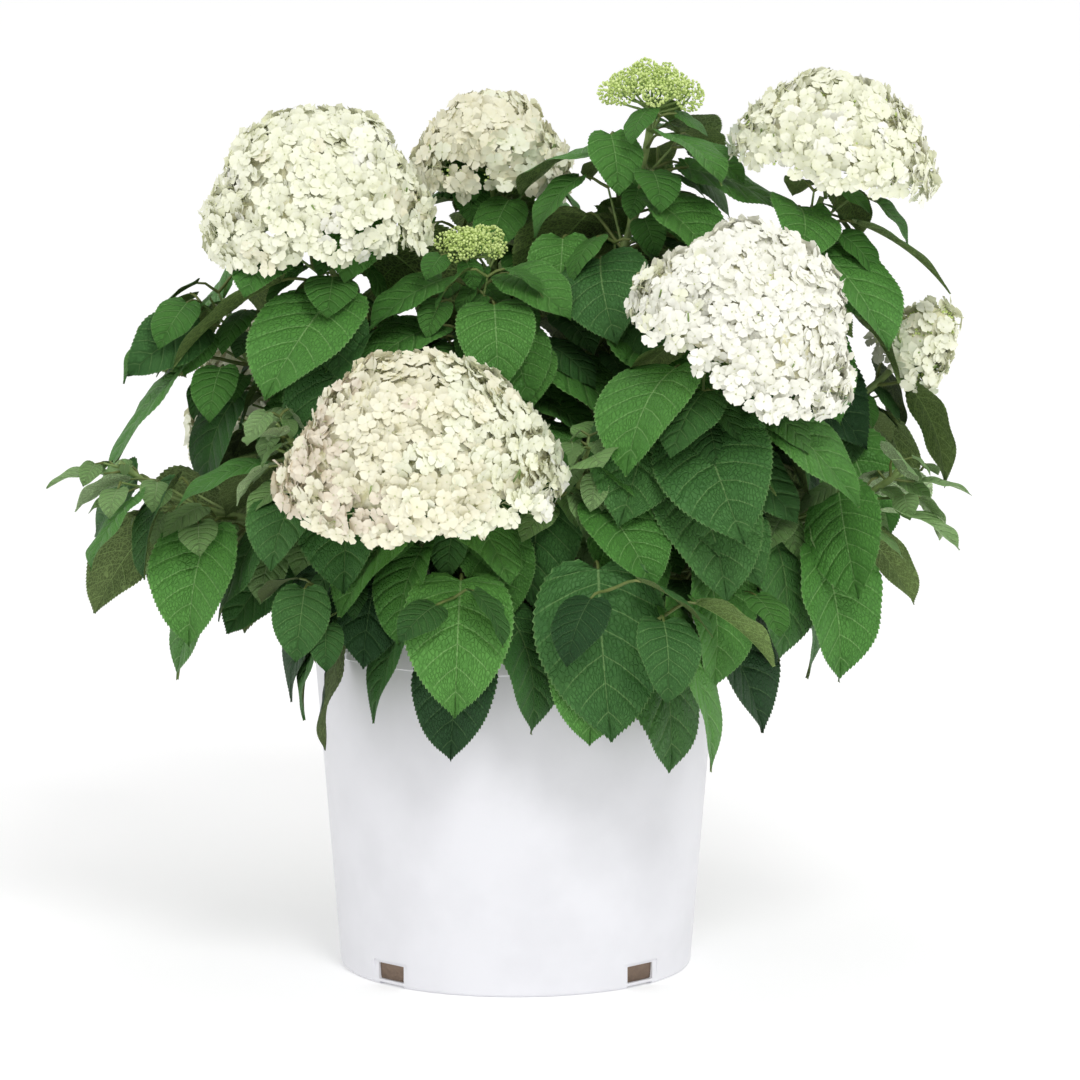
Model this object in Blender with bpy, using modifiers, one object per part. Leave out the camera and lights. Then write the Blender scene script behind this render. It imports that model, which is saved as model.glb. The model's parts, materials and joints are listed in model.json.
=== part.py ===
"""A mophead hydrangea in summer bloom, standing in its white nursery pot.

Run with blender --background --python part.py, or from Blender's text editor.
Metres, +Z up, +X right, the viewer in front at -Y. The origin is the middle of
the pot's flat underside.
"""
import math
import random
from collections import namedtuple

import bmesh
import bpy
from mathutils import Matrix, Vector, noise
from mathutils.bvhtree import BVHTree

# ---- the pot ----
POT_HEIGHT = 0.250
RIM_RADIUS = 0.140
RIM_BAND = 0.010            # height of the rim's upper band
COLLAR_BAND = 0.016         # height of the lower band under it
BAND_STEP = 0.0012          # how far each band stands out
BAND_DRAFT = 0.0003         # how much narrower it is at its foot
BAND_CHAMFER = 0.0006       # height of the slope under it
FOOT_RADIUS = 0.1195
FOOT_ROUND = 0.003
WALL = 0.0022
FLOOR_THICKNESS = 0.0035
RIM_ROUND = 0.0010
TURN_STEPS = 40             # facets round every turned part of the pot

# ---- its four drain slots, at the foot of the wall ----
SLOT_COUNT = 4
SLOT_WIDTH = 0.024
SLOT_HEIGHT = 0.0115
SLOT_POCKET_WIDTH = 0.032   # the flat the slot is cut in
SLOT_POCKET_HEIGHT = 0.0175
SLOT_POCKET_DEPTH = 0.0006  # at its foot
SLOT_GROOVE = 0.002         # height of the groove under the floor
CUTTER_SIZE = 0.02          # enough to run past what is cut

# ---- what fills it ----
SOIL_TOP = 0.225
SOIL_CROWNING = 0.004
SOIL_SHOULDER = (0.55, 0.60)    # a point of its crown: shares of the half width, the crowning
SOIL_EDGE = 0.004           # width of the bevel at the wall
GAP = 0.0003                # clearance between parts that touch
WELD = 0.00001              # below this, points are one

# ---- the short woody stem at the foot of the canes ----
CROWN_RADIUS = 0.034
CROWN_STEM = 0.009          # straight part below its dome
CROWN_FLARE = 0.005
CROWN_STEPS = 20
CROWN_RINGS = 5

# ---- canes and shoots ----
CANE_FOOT_RADIUS = 0.0036
CANE_TIP_RADIUS = 0.0019
CANE_POINTS = 6
ARCH = 0.35                 # how much more upright a cane sets out than its tip lies
TOP_PAIR_DROP = 0.008       # how far the highest pair stands below the tip
HEAD_DROP = 0.010           # how much lower it stands under a head,
HEAD_STALK = 0.50           # and lower still by this share of its half width

# ---- leaves ----
PETIOLE = 0.42              # petiole length as a share of the blade's
PETIOLE_RADIUS = 0.0011
PETIOLE_DEPTH = 0.0018
PETIOLE_AIM = (0.60, 0.80, 0.50)    # shares along the stem, away from it, to the light
PETIOLE_IN_STEM = 0.2       # share of it that may lie against its own stem
BLADE_WIDTH = 0.74          # widest, as a share of the length
BLADE_STATIONS = ((0.0, 0.05), (0.18, 0.95), (0.58, 0.85))   # along, share of width
TOWARDS_LIGHT = 0.75        # how far leaves turn out from the pot's axis
BLADE_DEPTH = 0.026         # keel depth as a share of the length
BLADE_CURL = math.radians(34)
CLEARANCE = 0.0008          # kept round a leaf when it is tested against others
TRIES = 14                  # ways to hold a leaf before it is left out, and how much
SWING_STEP = 6.0            # further each may swing aside (degrees),
DROOP_STEP = 2.0            # hang differently (degrees)
SHRINK_STEP = 0.022         # and shrink
TURN_SPREAD = 12            # how far leaves stray from their place (degrees),
DROOP_SPREAD = 10           # from their droop (degrees)
LENGTH_SPREAD = (0.92, 1.10)    # and from their length
LATENESS = 3                # how late along a shoot its leaves lift
SEED = 29

# A shoot runs from the woody stem to its tip: azimuth, distance from the pot's axis
# and height. It leans outward there by `lean`, and its share `bare` carries no leaves.
# Its pairs of leaves shrink upward from `leaf` to `leaf * taper`, hang by `droop`, of
# which the share `lift` is gone at the tip, and roll by up to `twist`. The lowest pair
# faces `turn`.
Shoot = namedtuple(
    "Shoot", "name azimuth reach height lean bare pairs leaf taper droop lift twist turn")
SHOOTS = (
    Shoot("low_front", -103, 0.170, 0.272, 98, 0.66, 3, 0.088, 0.95, 76, 0.0, 20, 0),
    Shoot("low_middle", -71, 0.176, 0.276, 96, 0.66, 3, 0.108, 0.95, 78, 0.0, 25, 0),
    Shoot("low_right", -43, 0.176, 0.280, 96, 0.64, 4, 0.102, 0.90, 78, 0.0, 30, 90),
    Shoot("low_left", -129, 0.166, 0.276, 96, 0.66, 3, 0.088, 0.95, 76, 0.0, 35, 60),
    Shoot("young_left", -149, 0.180, 0.385, 22, 0.36, 6, 0.100, 0.42, 60, 0.9, 30, 0),
    Shoot("young_front", -72, 0.155, 0.380, 18, 0.36, 6, 0.106, 0.42, 60, 0.9, 25, 0),
    Shoot("side_left", -172, 0.270, 0.352, 46, 0.38, 6, 0.100, 0.42, 76, 0.9, 60, 90),
    Shoot("side_right", -14, 0.266, 0.350, 46, 0.38, 6, 0.100, 0.42, 76, 0.9, 60, 90),
    Shoot("bud_front", -133, 0.041, 0.498, 4, 0.36, 7, 0.100, 0.62, 50, 0.3, 20, 15),
    Shoot("bud_top", 12, 0.094, 0.593, 3, 0.36, 8, 0.106, 0.66, 44, 0.4, 20, 0),
    Shoot("bloom_front", -111, 0.172, 0.366, 12, 0.36, 5, 0.098, 0.85, 60, 0.2, 25, 90),
    Shoot("bloom_middle", -39, 0.192, 0.450, 22, 0.36, 6, 0.106, 0.90, 58, 0.3, 30, 80),
    Shoot("leafy_right", -50, 0.150, 0.335, 36, 0.36, 5, 0.106, 0.85, 62, 0.3, 30, 45),
    Shoot("bloom_left", 180, 0.134, 0.520, 6, 0.36, 7, 0.106, 0.86, 50, 0.3, 35, 0),
    Shoot("bloom_right", 0, 0.215, 0.557, 10, 0.36, 7, 0.100, 0.76, 46, 0.3, 40, 0),
    Shoot("bloom_small", 7, 0.271, 0.417, 42, 0.36, 6, 0.084, 0.80, 76, 0.0, 50, 60),
    Shoot("shoulder_left", 170, 0.198, 0.438, 18, 0.36, 6, 0.110, 0.80, 62, 0.3, 55, 0),
    Shoot("shoulder_right", 38, 0.190, 0.450, 18, 0.36, 6, 0.100, 0.75, 54, 0.3, 50, 90),
    Shoot("bloom_back", 97.5, 0.132, 0.539, 5, 0.36, 7, 0.100, 0.80, 48, 0.3, 30, 0),
    Shoot("bloom_back_left", 138, 0.212, 0.365, 26, 0.36, 5, 0.100, 0.85, 58, 0.3, 30, 45),
    Shoot("bloom_back_right", 58, 0.208, 0.380, 24, 0.36, 5, 0.100, 0.85, 58, 0.3, 30, 30),
    Shoot("bloom_back_low", 98, 0.225, 0.335, 36, 0.36, 5, 0.100, 0.85, 62, 0.3, 30, 0),
    Shoot("low_back_left", 158, 0.162, 0.290, 90, 0.64, 3, 0.094, 0.90, 74, 0.0, 35, 45),
    Shoot("low_back", 116, 0.178, 0.274, 96, 0.66, 3, 0.100, 0.90, 74, 0.0, 25, 0),
    Shoot("low_back_right", 50, 0.184, 0.276, 94, 0.66, 3, 0.100, 0.90, 74, 0.0, 30, 45),
    Shoot("low_far_right", 6, 0.165, 0.300, 90, 0.66, 3, 0.098, 0.90, 74, 0.0, 40, 90),
)

# The flower head at a shoot's tip: half width, height over its rim, how far the rim
# hangs, and the tilt of its axis towards an azimuth.
Head = namedtuple("Head", "radius height skirt tilt toward")
HEADS = {
    "bloom_left": Head(0.082, 0.070, 0.024, 5, 200),
    "bloom_back": Head(0.058, 0.044, 0.022, 3, 90),
    "bud_top": Head(0.035, 0.026, 0.006, 2, 0),
    "bloom_right": Head(0.074, 0.056, 0.009, 13, -10),
    "bloom_middle": Head(0.083, 0.080, 0.014, 26, -18),
    "bloom_small": Head(0.032, 0.046, 0.010, 43, -10),
    "bloom_front": Head(0.099, 0.079, 0.016, 8, -105),
    "bud_front": Head(0.026, 0.015, 0.004, 4, -90),
    "bloom_back_left": Head(0.076, 0.068, 0.020, 22, 138),
    "bloom_back_right": Head(0.070, 0.064, 0.018, 20, 58),
    "bloom_back_low": Head(0.060, 0.056, 0.016, 34, 98),
}
LARGE_HEAD = 0.050          # half width from which a head has finer facets
HEAD_LUMPS = 0.11           # size of the noise, as a share of the half width
HEAD_LUMP_SIZE = 0.030
HEAD_HOLLOW = 0.12          # how far the underside rises, as a share of the height
HEAD_SLOPE = 0.14           # how much slimmer than a ball a head is, halfway up
STEM_IN_HEAD = 0.40         # how far the stem runs up into it, as a share of the height

WHITE_PLASTIC = ("pot_white", (0.90, 0.90, 0.93), 0.38)
POTTING_MIX = ("potting_mix", (0.060, 0.038, 0.024), 0.95)
OLD_WOOD = ("old_wood", (0.150, 0.100, 0.055), 0.85)
CANE_GREEN = ("cane_green", (0.180, 0.220, 0.060), 0.60)
LEAF_GREEN = ("leaf_green", (0.040, 0.130, 0.035), 0.55)
PETAL_WHITE = ("petal_white", (0.800, 0.800, 0.680), 0.60)


def clear_scene():
    for old in list(bpy.data.objects):
        bpy.data.objects.remove(old, do_unlink=True)


def make_collection(name):
    group = bpy.data.collections.new(name)
    bpy.context.scene.collection.children.link(group)
    return group


def make_material(name, colour, roughness):
    found = bpy.data.materials.get(name)
    if found:
        return found
    material = bpy.data.materials.new(name)
    material.use_nodes = True
    shader = material.node_tree.nodes["Principled BSDF"]
    shader.inputs["Base Color"].default_value = (*colour, 1.0)
    shader.inputs["Roughness"].default_value = roughness
    return material


def add_object(name, data, group, look):
    obj = bpy.data.objects.new(name, data)
    group.objects.link(obj)
    obj.data.materials.append(make_material(*look))
    return obj


def polar(azimuth, reach, height=0.0):
    angle = math.radians(azimuth)
    return Vector((reach * math.cos(angle), reach * math.sin(angle), height))


def arc(centre, radius, start, end, steps):
    """Points of an arc in the (radius, height) plane, angles in degrees."""
    for step in range(steps + 1):
        angle = math.radians(start + (end - start) * step / steps)
        yield (centre[0] + radius * math.cos(angle), centre[1] + radius * math.sin(angle))


def turned(name, profile, steps, group, look):
    """A solid of revolution. Its profile runs down the outer side and ends on the axis."""
    mesh = bpy.data.meshes.new(name)
    verts = [(radius, 0.0, height) for radius, height in profile]
    mesh.from_pydata(verts, [(i, i + 1) for i in range(len(verts) - 1)], [])
    obj = add_object(name, mesh, group, look)
    screw = obj.modifiers.new("turn", "SCREW")
    screw.steps = screw.render_steps = steps
    screw.use_merge_vertices = True
    screw.merge_threshold = WELD
    return obj


def wall_radius(height):
    """Outer radius of the plain wall, which widens evenly from the foot to the collar."""
    top = POT_HEIGHT - RIM_BAND - COLLAR_BAND
    return FOOT_RADIUS + (RIM_RADIUS - 2 * BAND_STEP - FOOT_RADIUS) * height / top


def pot_profile():
    rim_foot = POT_HEIGHT - RIM_BAND
    collar_foot = rim_foot - COLLAR_BAND
    collar = RIM_RADIUS - BAND_STEP
    wall_top = collar - BAND_STEP
    inside_top = wall_top - WALL
    inside_foot = FOOT_RADIUS - WALL
    profile = [(0.0, FLOOR_THICKNESS), (inside_foot, FLOOR_THICKNESS), (inside_top, collar_foot)]
    profile.append((inside_top, POT_HEIGHT - RIM_ROUND))
    profile.append((inside_top + RIM_ROUND, POT_HEIGHT))
    profile += arc((RIM_RADIUS - RIM_ROUND, POT_HEIGHT - RIM_ROUND), RIM_ROUND, 90, 0, 2)
    for band, foot in ((RIM_RADIUS, rim_foot), (collar, collar_foot)):
        profile.append((band - BAND_DRAFT, foot))
        profile.append((band - BAND_STEP, foot - BAND_CHAMFER))
    above_slots = SLOT_POCKET_HEIGHT + FOOT_ROUND
    profile.append((wall_radius(above_slots), above_slots))
    corner = (wall_radius(FOOT_ROUND) - FOOT_ROUND, FOOT_ROUND)
    profile += arc(corner, FOOT_ROUND, 0, -90, 3)
    profile.append((0.0, 0.0))
    return profile


def box_cutter(name, size, centre, azimuth, group):
    mesh = bpy.data.meshes.new(name)
    shape = bmesh.new()
    bmesh.ops.create_cube(shape, size=1.0, matrix=Matrix.Diagonal((*size, 1.0)))
    shape.to_mesh(mesh)
    shape.free()
    cutter = bpy.data.objects.new(name, mesh)
    cutter.rotation_euler.z = math.radians(azimuth)
    cutter.location = polar(azimuth, centre[0], centre[1])
    cutter.hide_render = True
    cutter.display_type = "WIRE"
    group.objects.link(cutter)
    return cutter


def make_pot(group, cutters):
    pot = turned("pot", pot_profile(), TURN_STEPS, group, WHITE_PLASTIC)
    for index in range(SLOT_COUNT):
        azimuth = 45 + 360 / SLOT_COUNT * index
        pocket = ((CUTTER_SIZE, SLOT_POCKET_WIDTH, SLOT_POCKET_HEIGHT + CUTTER_SIZE),
                  (FOOT_RADIUS - SLOT_POCKET_DEPTH + CUTTER_SIZE / 2,
                   (SLOT_POCKET_HEIGHT - CUTTER_SIZE) / 2))
        slot = ((CUTTER_SIZE, SLOT_WIDTH, SLOT_HEIGHT),
                (FOOT_RADIUS, FLOOR_THICKNESS + GAP + SLOT_HEIGHT / 2))
        groove = ((2 * CUTTER_SIZE, SLOT_WIDTH, 2 * SLOT_GROOVE), (FOOT_RADIUS, 0.0))
        for kind, (size, centre) in (("pocket", pocket), ("slot", slot), ("groove", groove)):
            cutter = box_cutter(f"{kind}_{index + 1}", size, centre, azimuth, cutters)
            cut = pot.modifiers.new(cutter.name, "BOOLEAN")
            cut.operation = "DIFFERENCE"
            cut.object = cutter
    return pot


def make_soil(group):
    foot = FLOOR_THICKNESS + GAP
    edge = SOIL_TOP - SOIL_EDGE / 2
    wide = wall_radius(edge) - WALL - 2 * GAP
    profile = [(0.0, SOIL_TOP + SOIL_CROWNING)]
    profile.append((wide * SOIL_SHOULDER[0], SOIL_TOP + SOIL_CROWNING * SOIL_SHOULDER[1]))
    profile += [(wide - SOIL_EDGE, SOIL_TOP), (wide, edge)]
    profile += [(wall_radius(foot) - WALL - 2 * GAP, foot), (0.0, foot)]
    return turned("potting_mix", profile, TURN_STEPS, group, POTTING_MIX)


def crown_centre():
    return Vector((0.0, 0.0, SOIL_TOP + SOIL_CROWNING + GAP + CROWN_STEM))


def make_crown(group):
    middle = crown_centre().z
    profile = list(arc((0.0, middle), CROWN_RADIUS, 90, 0, CROWN_RINGS))
    profile[0] = (0.0, middle + CROWN_RADIUS)
    profile.append((CROWN_RADIUS + CROWN_FLARE, middle - CROWN_STEM))
    profile.append((0.0, middle - CROWN_STEM))
    return turned("root_crown", profile, CROWN_STEPS, group, OLD_WOOD)


class Path:
    """The line that a shoot follows from the woody stem to its tip."""

    def __init__(self, shoot):
        tip = polar(shoot.azimuth, shoot.reach, shoot.height)
        ray = (tip - crown_centre()).normalized() + Vector((0.0, 0.0, ARCH))
        ray.normalize()
        foot = crown_centre() + ray * (CROWN_RADIUS + GAP)
        lean = math.radians(shoot.lean)
        end = polar(shoot.azimuth, math.sin(lean), math.cos(lean))
        third = (tip - foot).length / 3
        self.points = (foot, foot + ray * third, tip - end * third, tip)
        self.length = 3 * third

    def at(self, t):
        a, b, c, d = self.points
        u = 1 - t
        return a * u ** 3 + b * (3 * u * u * t) + c * (3 * u * t * t) + d * t ** 3

    def slope(self, t):
        a, b, c, d = self.points
        u = 1 - t
        return ((b - a) * (u * u) + (c - b) * (2 * u * t) + (d - c) * (t * t)).normalized()

    def station(self, t):
        """A place along the path and the limb's radius there."""
        return self.at(t), CANE_FOOT_RADIUS + (CANE_TIP_RADIUS - CANE_FOOT_RADIUS) * t


def tapering_limb(name, stations, sides, group):
    """A tube through stations of place and radius, with filled ends."""
    curve = bpy.data.curves.new(name, "CURVE")
    curve.dimensions = "3D"
    curve.bevel_depth = 1.0
    curve.bevel_resolution = sides
    curve.use_fill_caps = True
    line = curve.splines.new("POLY")
    line.points.add(len(stations) - 1)
    for point, (place, radius) in zip(line.points, stations):
        point.co = (*place, 1.0)
        point.radius = radius
    return add_object(name, curve, group, CANE_GREEN)


def as_mesh(obj, group):
    """The closed mesh of a curve object, which it replaces."""
    name = obj.name
    look = obj.data.materials[0]
    bpy.context.view_layer.update()
    depsgraph = bpy.context.evaluated_depsgraph_get()
    mesh = bpy.data.meshes.new_from_object(obj.evaluated_get(depsgraph))
    matrix = obj.matrix_world.copy()
    bpy.data.objects.remove(obj, do_unlink=True)
    shape = bmesh.new()
    shape.from_mesh(mesh)
    bmesh.ops.remove_doubles(shape, verts=shape.verts, dist=WELD)
    shape.to_mesh(mesh)
    shape.free()
    mesh.materials.clear()
    mesh.materials.append(look)
    solid = bpy.data.objects.new(name, mesh)
    solid.matrix_world = matrix
    group.objects.link(solid)
    return solid


class Leaf:
    """A three-sided petiole that opens into a keeled blade, as rings of three points."""

    def __init__(self, root, along, outward, length, droop, roll):
        light = Vector((root.x, root.y, 0.0)).normalized() * TOWARDS_LIGHT
        self.heading = Vector((outward.x + light.x, outward.y + light.y, 0.0)).normalized()
        self.side = Vector((0.0, 0.0, 1.0)).cross(self.heading)
        aims = zip(PETIOLE_AIM, (along, outward, self.heading))
        self.petiole = sum((aim * share for share, aim in aims), Vector()).normalized()
        self.root = root
        self.base = root + self.petiole * (length * PETIOLE)
        self.length = length
        self.droop = droop
        self.roll = roll

    def direction(self, t):
        """Which way the blade runs, a share t along it."""
        pitch = self.droop + BLADE_CURL * (t - 0.5)
        return self.heading * math.cos(pitch) - Vector((0.0, 0.0, math.sin(pitch)))

    def ring(self, centre, direction, roll, half, depth, margin):
        side = (self.side - direction * self.side.dot(direction)).normalized()
        side.rotate(Matrix.Rotation(roll, 3, direction))
        normal = direction.cross(side)
        top = centre + normal * margin
        across = side * (half + margin)
        return [top + across, top - across, centre - normal * (depth + margin)]

    def rings(self, margin=0.0, start=0.0):
        """Rings along the leaf and its tip, from a share of the petiole on. With a
        margin they bound the space that the leaf keeps."""
        foot = self.root.lerp(self.base, start)
        rings = [self.ring(foot, self.petiole, 0.0, PETIOLE_RADIUS, PETIOLE_DEPTH, margin)]
        centre = self.base
        last = 0.0
        for t, share in BLADE_STATIONS:
            centre = centre + self.direction((last + t) / 2) * (self.length * (t - last))
            direction = self.direction(t) if t else (self.petiole + self.direction(0)).normalized()
            half = self.length * BLADE_WIDTH * share / 2
            rings.append(self.ring(centre, direction, self.roll, half,
                                   self.length * BLADE_DEPTH, margin))
            last = t
        tip = centre + self.direction((last + 1) / 2) * (self.length * (1 - last) + margin)
        return rings, tip

    def mesh_data(self, margin=0.0, start=0.0):
        rings, tip = self.rings(margin, start)
        verts = [point for ring in rings for point in ring] + [tip]
        faces = [(2, 1, 0)]
        top = 3 * len(rings) - 3
        for i, j in ((0, 1), (1, 2), (2, 0)):
            for low in range(0, top, 3):
                faces.append((low + i, low + j, low + 3 + j))
                faces.append((low + i, low + 3 + j, low + 3 + i))
            faces.append((top + i, top + j, len(verts) - 1))
        return verts, faces


def tree_of(verts, faces):
    return BVHTree.FromPolygons(verts, faces, all_triangles=False)


def tree_of_object(obj):
    depsgraph = bpy.context.evaluated_depsgraph_get()
    mesh = obj.evaluated_get(depsgraph).to_mesh()
    verts = [obj.matrix_world @ vert.co for vert in mesh.vertices]
    return tree_of(verts, [tuple(face.vertices) for face in mesh.polygons])


def pair_places(shoot, path):
    """Where a shoot's pairs of leaves stand: their share of the leafy part, and along
    the whole path."""
    drop = TOP_PAIR_DROP
    if shoot.name in HEADS:
        drop += HEAD_DROP + HEADS[shoot.name].radius * HEAD_STALK
    top = 1 - drop / path.length
    for pair in range(shoot.pairs):
        share = (pair + 0.5) / (shoot.pairs - 0.5)
        yield share, shoot.bare + (top - shoot.bare) * share


def held_leaves(shoot, path):
    """Each leaf of a shoot as a list of ways to hold it, the best one first: opposite
    pairs, turned by a quarter from one pair to the next."""
    for pair, (share, t) in enumerate(pair_places(shoot, path)):
        along = path.slope(t)
        back = along.cross(Vector((1.0, 0.0, 0.0))).normalized()
        right = back.cross(along)
        for half in (0, 180):
            dice = random.Random(f"{SEED} {shoot.name} {pair} {half}")
            turn = shoot.turn + 90 * pair + half + dice.uniform(-TURN_SPREAD, TURN_SPREAD)
            length = shoot.leaf * (1 + (shoot.taper - 1) * share ** 2) * dice.uniform(*LENGTH_SPREAD)
            droop = shoot.droop * (1 - shoot.lift * share ** LATENESS)
            droop += dice.uniform(-DROOP_SPREAD, DROOP_SPREAD)
            roll = dice.uniform(-shoot.twist, shoot.twist)
            ways = []
            for step in range(TRIES):
                swing = math.radians(turn + dice.uniform(-1, 1) * step * SWING_STEP)
                outward = right * math.cos(swing) + back * math.sin(swing)
                size = length * (1 - SHRINK_STEP * step)
                hang = math.radians(droop + dice.uniform(-1, 1) * step * DROOP_STEP)
                ways.append(Leaf(path.at(t), along, outward, size, hang, math.radians(roll)))
            yield ways


def grow_leaves(shoot, path, blocked):
    """The shoot's leaves, each held the first way in which it touches nothing."""
    leaves = []
    for ways in held_leaves(shoot, path):
        for leaf in ways:
            whole = tree_of(*leaf.mesh_data(CLEARANCE))
            past_stem = tree_of(*leaf.mesh_data(CLEARANCE, PETIOLE_IN_STEM))
            if any((past_stem if owner == shoot.name else whole).overlap(tree)
                   for owner, tree in blocked):
                continue
            leaves.append(leaf)
            blocked.append((shoot.name, whole))
            break
    return leaves


def head_frame(shoot, path):
    """Place and turn of a flower head, its local +Z along the head's axis."""
    head = HEADS[shoot.name]
    tilt = math.radians(head.tilt)
    axis = polar(head.toward, math.sin(tilt), math.cos(tilt))
    turn = axis.to_track_quat("Z", "Y").to_matrix().to_4x4()
    return Matrix.Translation(path.at(1.0)) @ turn


def make_head(shoot, path, group):
    """A lumpy dome of blossom with a hollow underside, round the end of its stem."""
    head = HEADS[shoot.name]
    mesh = bpy.data.meshes.new("head_" + shoot.name)
    shape = bmesh.new()
    fineness = 3 if head.radius > LARGE_HEAD else 2
    bmesh.ops.create_icosphere(shape, subdivisions=fineness, radius=1.0)
    for vert in shape.verts:
        height = head.height * vert.co.z
        wide = head.radius * (1 - HEAD_SLOPE * math.sin(math.pi * max(0.0, vert.co.z)))
        if vert.co.z < -WELD:
            rim = vert.co.xy.length ** 2
            height = head.height * HEAD_HOLLOW * (1 - rim) - head.skirt * rim
        place = Vector((vert.co.x * wide, vert.co.y * wide, height))
        lump = noise.noise(place / HEAD_LUMP_SIZE + Vector((0, 0, SHOOTS.index(shoot))))
        vert.co = place * (1 + HEAD_LUMPS * lump)
    shape.to_mesh(mesh)
    shape.free()
    solid = add_object(mesh.name, mesh, group, PETAL_WHITE)
    solid.matrix_world = head_frame(shoot, path)
    return solid


def join_mass(name, stem, pieces, group):
    """One solid of a stem and everything that grows on it."""
    loose = make_collection("pieces_" + name)
    for piece in pieces:
        loose.objects.link(piece)
        group.objects.unlink(piece)
    union = stem.modifiers.new("join", "BOOLEAN")
    union.operation = "UNION"
    union.operand_type = "COLLECTION"
    union.collection = loose
    union.solver = "MANIFOLD"
    union.material_mode = "TRANSFER"
    bpy.context.view_layer.update()
    depsgraph = bpy.context.evaluated_depsgraph_get()
    joined = bpy.data.meshes.new_from_object(stem.evaluated_get(depsgraph))
    stem.modifiers.clear()
    stem.data = joined
    stem.name = name
    for piece in pieces:
        bpy.data.objects.remove(piece, do_unlink=True)
    bpy.data.collections.remove(loose)
    return stem


def make_masses(group, paths, blocked):
    stems = {}
    heads = {}
    for shoot in SHOOTS:
        path = paths[shoot.name]
        start = shoot.bare + GAP / path.length
        pairs = (t for _, t in pair_places(shoot, path))
        stations = [path.station(t) for t in (start, *pairs, 1.0)]
        if shoot.name in HEADS:
            heads[shoot.name] = make_head(shoot, path, group)
            inside = Vector((0.0, 0.0, HEADS[shoot.name].height * STEM_IN_HEAD))
            stations.append((head_frame(shoot, path) @ inside, CANE_TIP_RADIUS))
        stems[shoot.name] = as_mesh(tapering_limb("stem_" + shoot.name, stations, 0, group), group)
    bpy.context.view_layer.update()
    for name, stem in stems.items():
        blocked.append((name, tree_of_object(stem)))
    for head in heads.values():
        blocked.append(("head", tree_of_object(head)))
    for shoot in SHOOTS:
        pieces = [heads[shoot.name]] if shoot.name in heads else []
        for number, leaf in enumerate(grow_leaves(shoot, paths[shoot.name], blocked)):
            verts, faces = leaf.mesh_data()
            mesh = bpy.data.meshes.new(f"leaf_{number}")
            mesh.from_pydata(verts, [], faces)
            pieces.append(add_object(mesh.name, mesh, group, LEAF_GREEN))
        join_mass("mass_" + shoot.name, stems[shoot.name], pieces, group)


def main():
    clear_scene()
    group = make_collection("hydrangea_in_pot")
    cutters = make_collection("cutters")
    limbs = [make_pot(group, cutters), make_soil(group), make_crown(group)]
    paths = {shoot.name: Path(shoot) for shoot in SHOOTS}
    for shoot in SHOOTS:
        ends = (shoot.bare * i / (CANE_POINTS - 1) for i in range(CANE_POINTS))
        stations = [paths[shoot.name].station(t) for t in ends]
        limbs.append(tapering_limb("cane_" + shoot.name, stations, 1, group))
    bpy.context.view_layer.update()
    blocked = [("limb", tree_of_object(limb)) for limb in limbs]
    make_masses(group, paths, blocked)


main()
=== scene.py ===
import itertools
import json
import math
import random
from collections import namedtuple

import bmesh
import bpy
import numpy as np
from mathutils import Matrix, Vector, noise
from mathutils.bvhtree import BVHTree

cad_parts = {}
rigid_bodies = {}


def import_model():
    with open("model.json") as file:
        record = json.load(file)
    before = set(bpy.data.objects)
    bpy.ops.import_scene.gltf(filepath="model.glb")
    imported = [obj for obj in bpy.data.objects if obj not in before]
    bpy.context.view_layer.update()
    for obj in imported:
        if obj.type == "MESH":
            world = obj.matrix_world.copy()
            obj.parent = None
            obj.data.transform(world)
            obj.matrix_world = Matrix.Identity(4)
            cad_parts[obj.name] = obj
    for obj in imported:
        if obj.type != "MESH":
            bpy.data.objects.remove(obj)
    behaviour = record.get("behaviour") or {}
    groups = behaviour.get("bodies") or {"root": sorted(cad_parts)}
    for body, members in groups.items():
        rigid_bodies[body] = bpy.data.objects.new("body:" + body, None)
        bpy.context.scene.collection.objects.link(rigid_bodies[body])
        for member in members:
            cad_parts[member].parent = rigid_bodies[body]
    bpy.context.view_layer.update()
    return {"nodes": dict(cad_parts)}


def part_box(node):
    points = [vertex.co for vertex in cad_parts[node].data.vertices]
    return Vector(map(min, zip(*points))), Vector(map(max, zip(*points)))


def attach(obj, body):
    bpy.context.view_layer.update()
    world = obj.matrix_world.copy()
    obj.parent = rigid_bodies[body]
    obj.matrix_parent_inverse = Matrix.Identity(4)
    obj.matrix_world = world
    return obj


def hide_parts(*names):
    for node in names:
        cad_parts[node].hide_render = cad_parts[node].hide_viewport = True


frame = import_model()
upward = Vector((0.0, 0.0, 1.0))
print("frame loaded")


class Wire:
    # an output socket, on which arithmetic adds Math nodes
    def __init__(self, board, socket):
        self.board = board
        self.socket = socket

    def math(self, operation, first, second):
        return self.board.add("ShaderNodeMath", {"operation": operation}, {0: first, 1: second})

    def __add__(self, other):
        return self.math("ADD", self, other)

    def __sub__(self, other):
        return self.math("SUBTRACT", self, other)

    def __rsub__(self, other):
        return self.math("SUBTRACT", other, self)

    def __mul__(self, other):
        return self.math("MULTIPLY", self, other)

    def __gt__(self, other):
        return self.math("GREATER_THAN", self, other)

    __radd__ = __add__
    __rmul__ = __mul__


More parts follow.
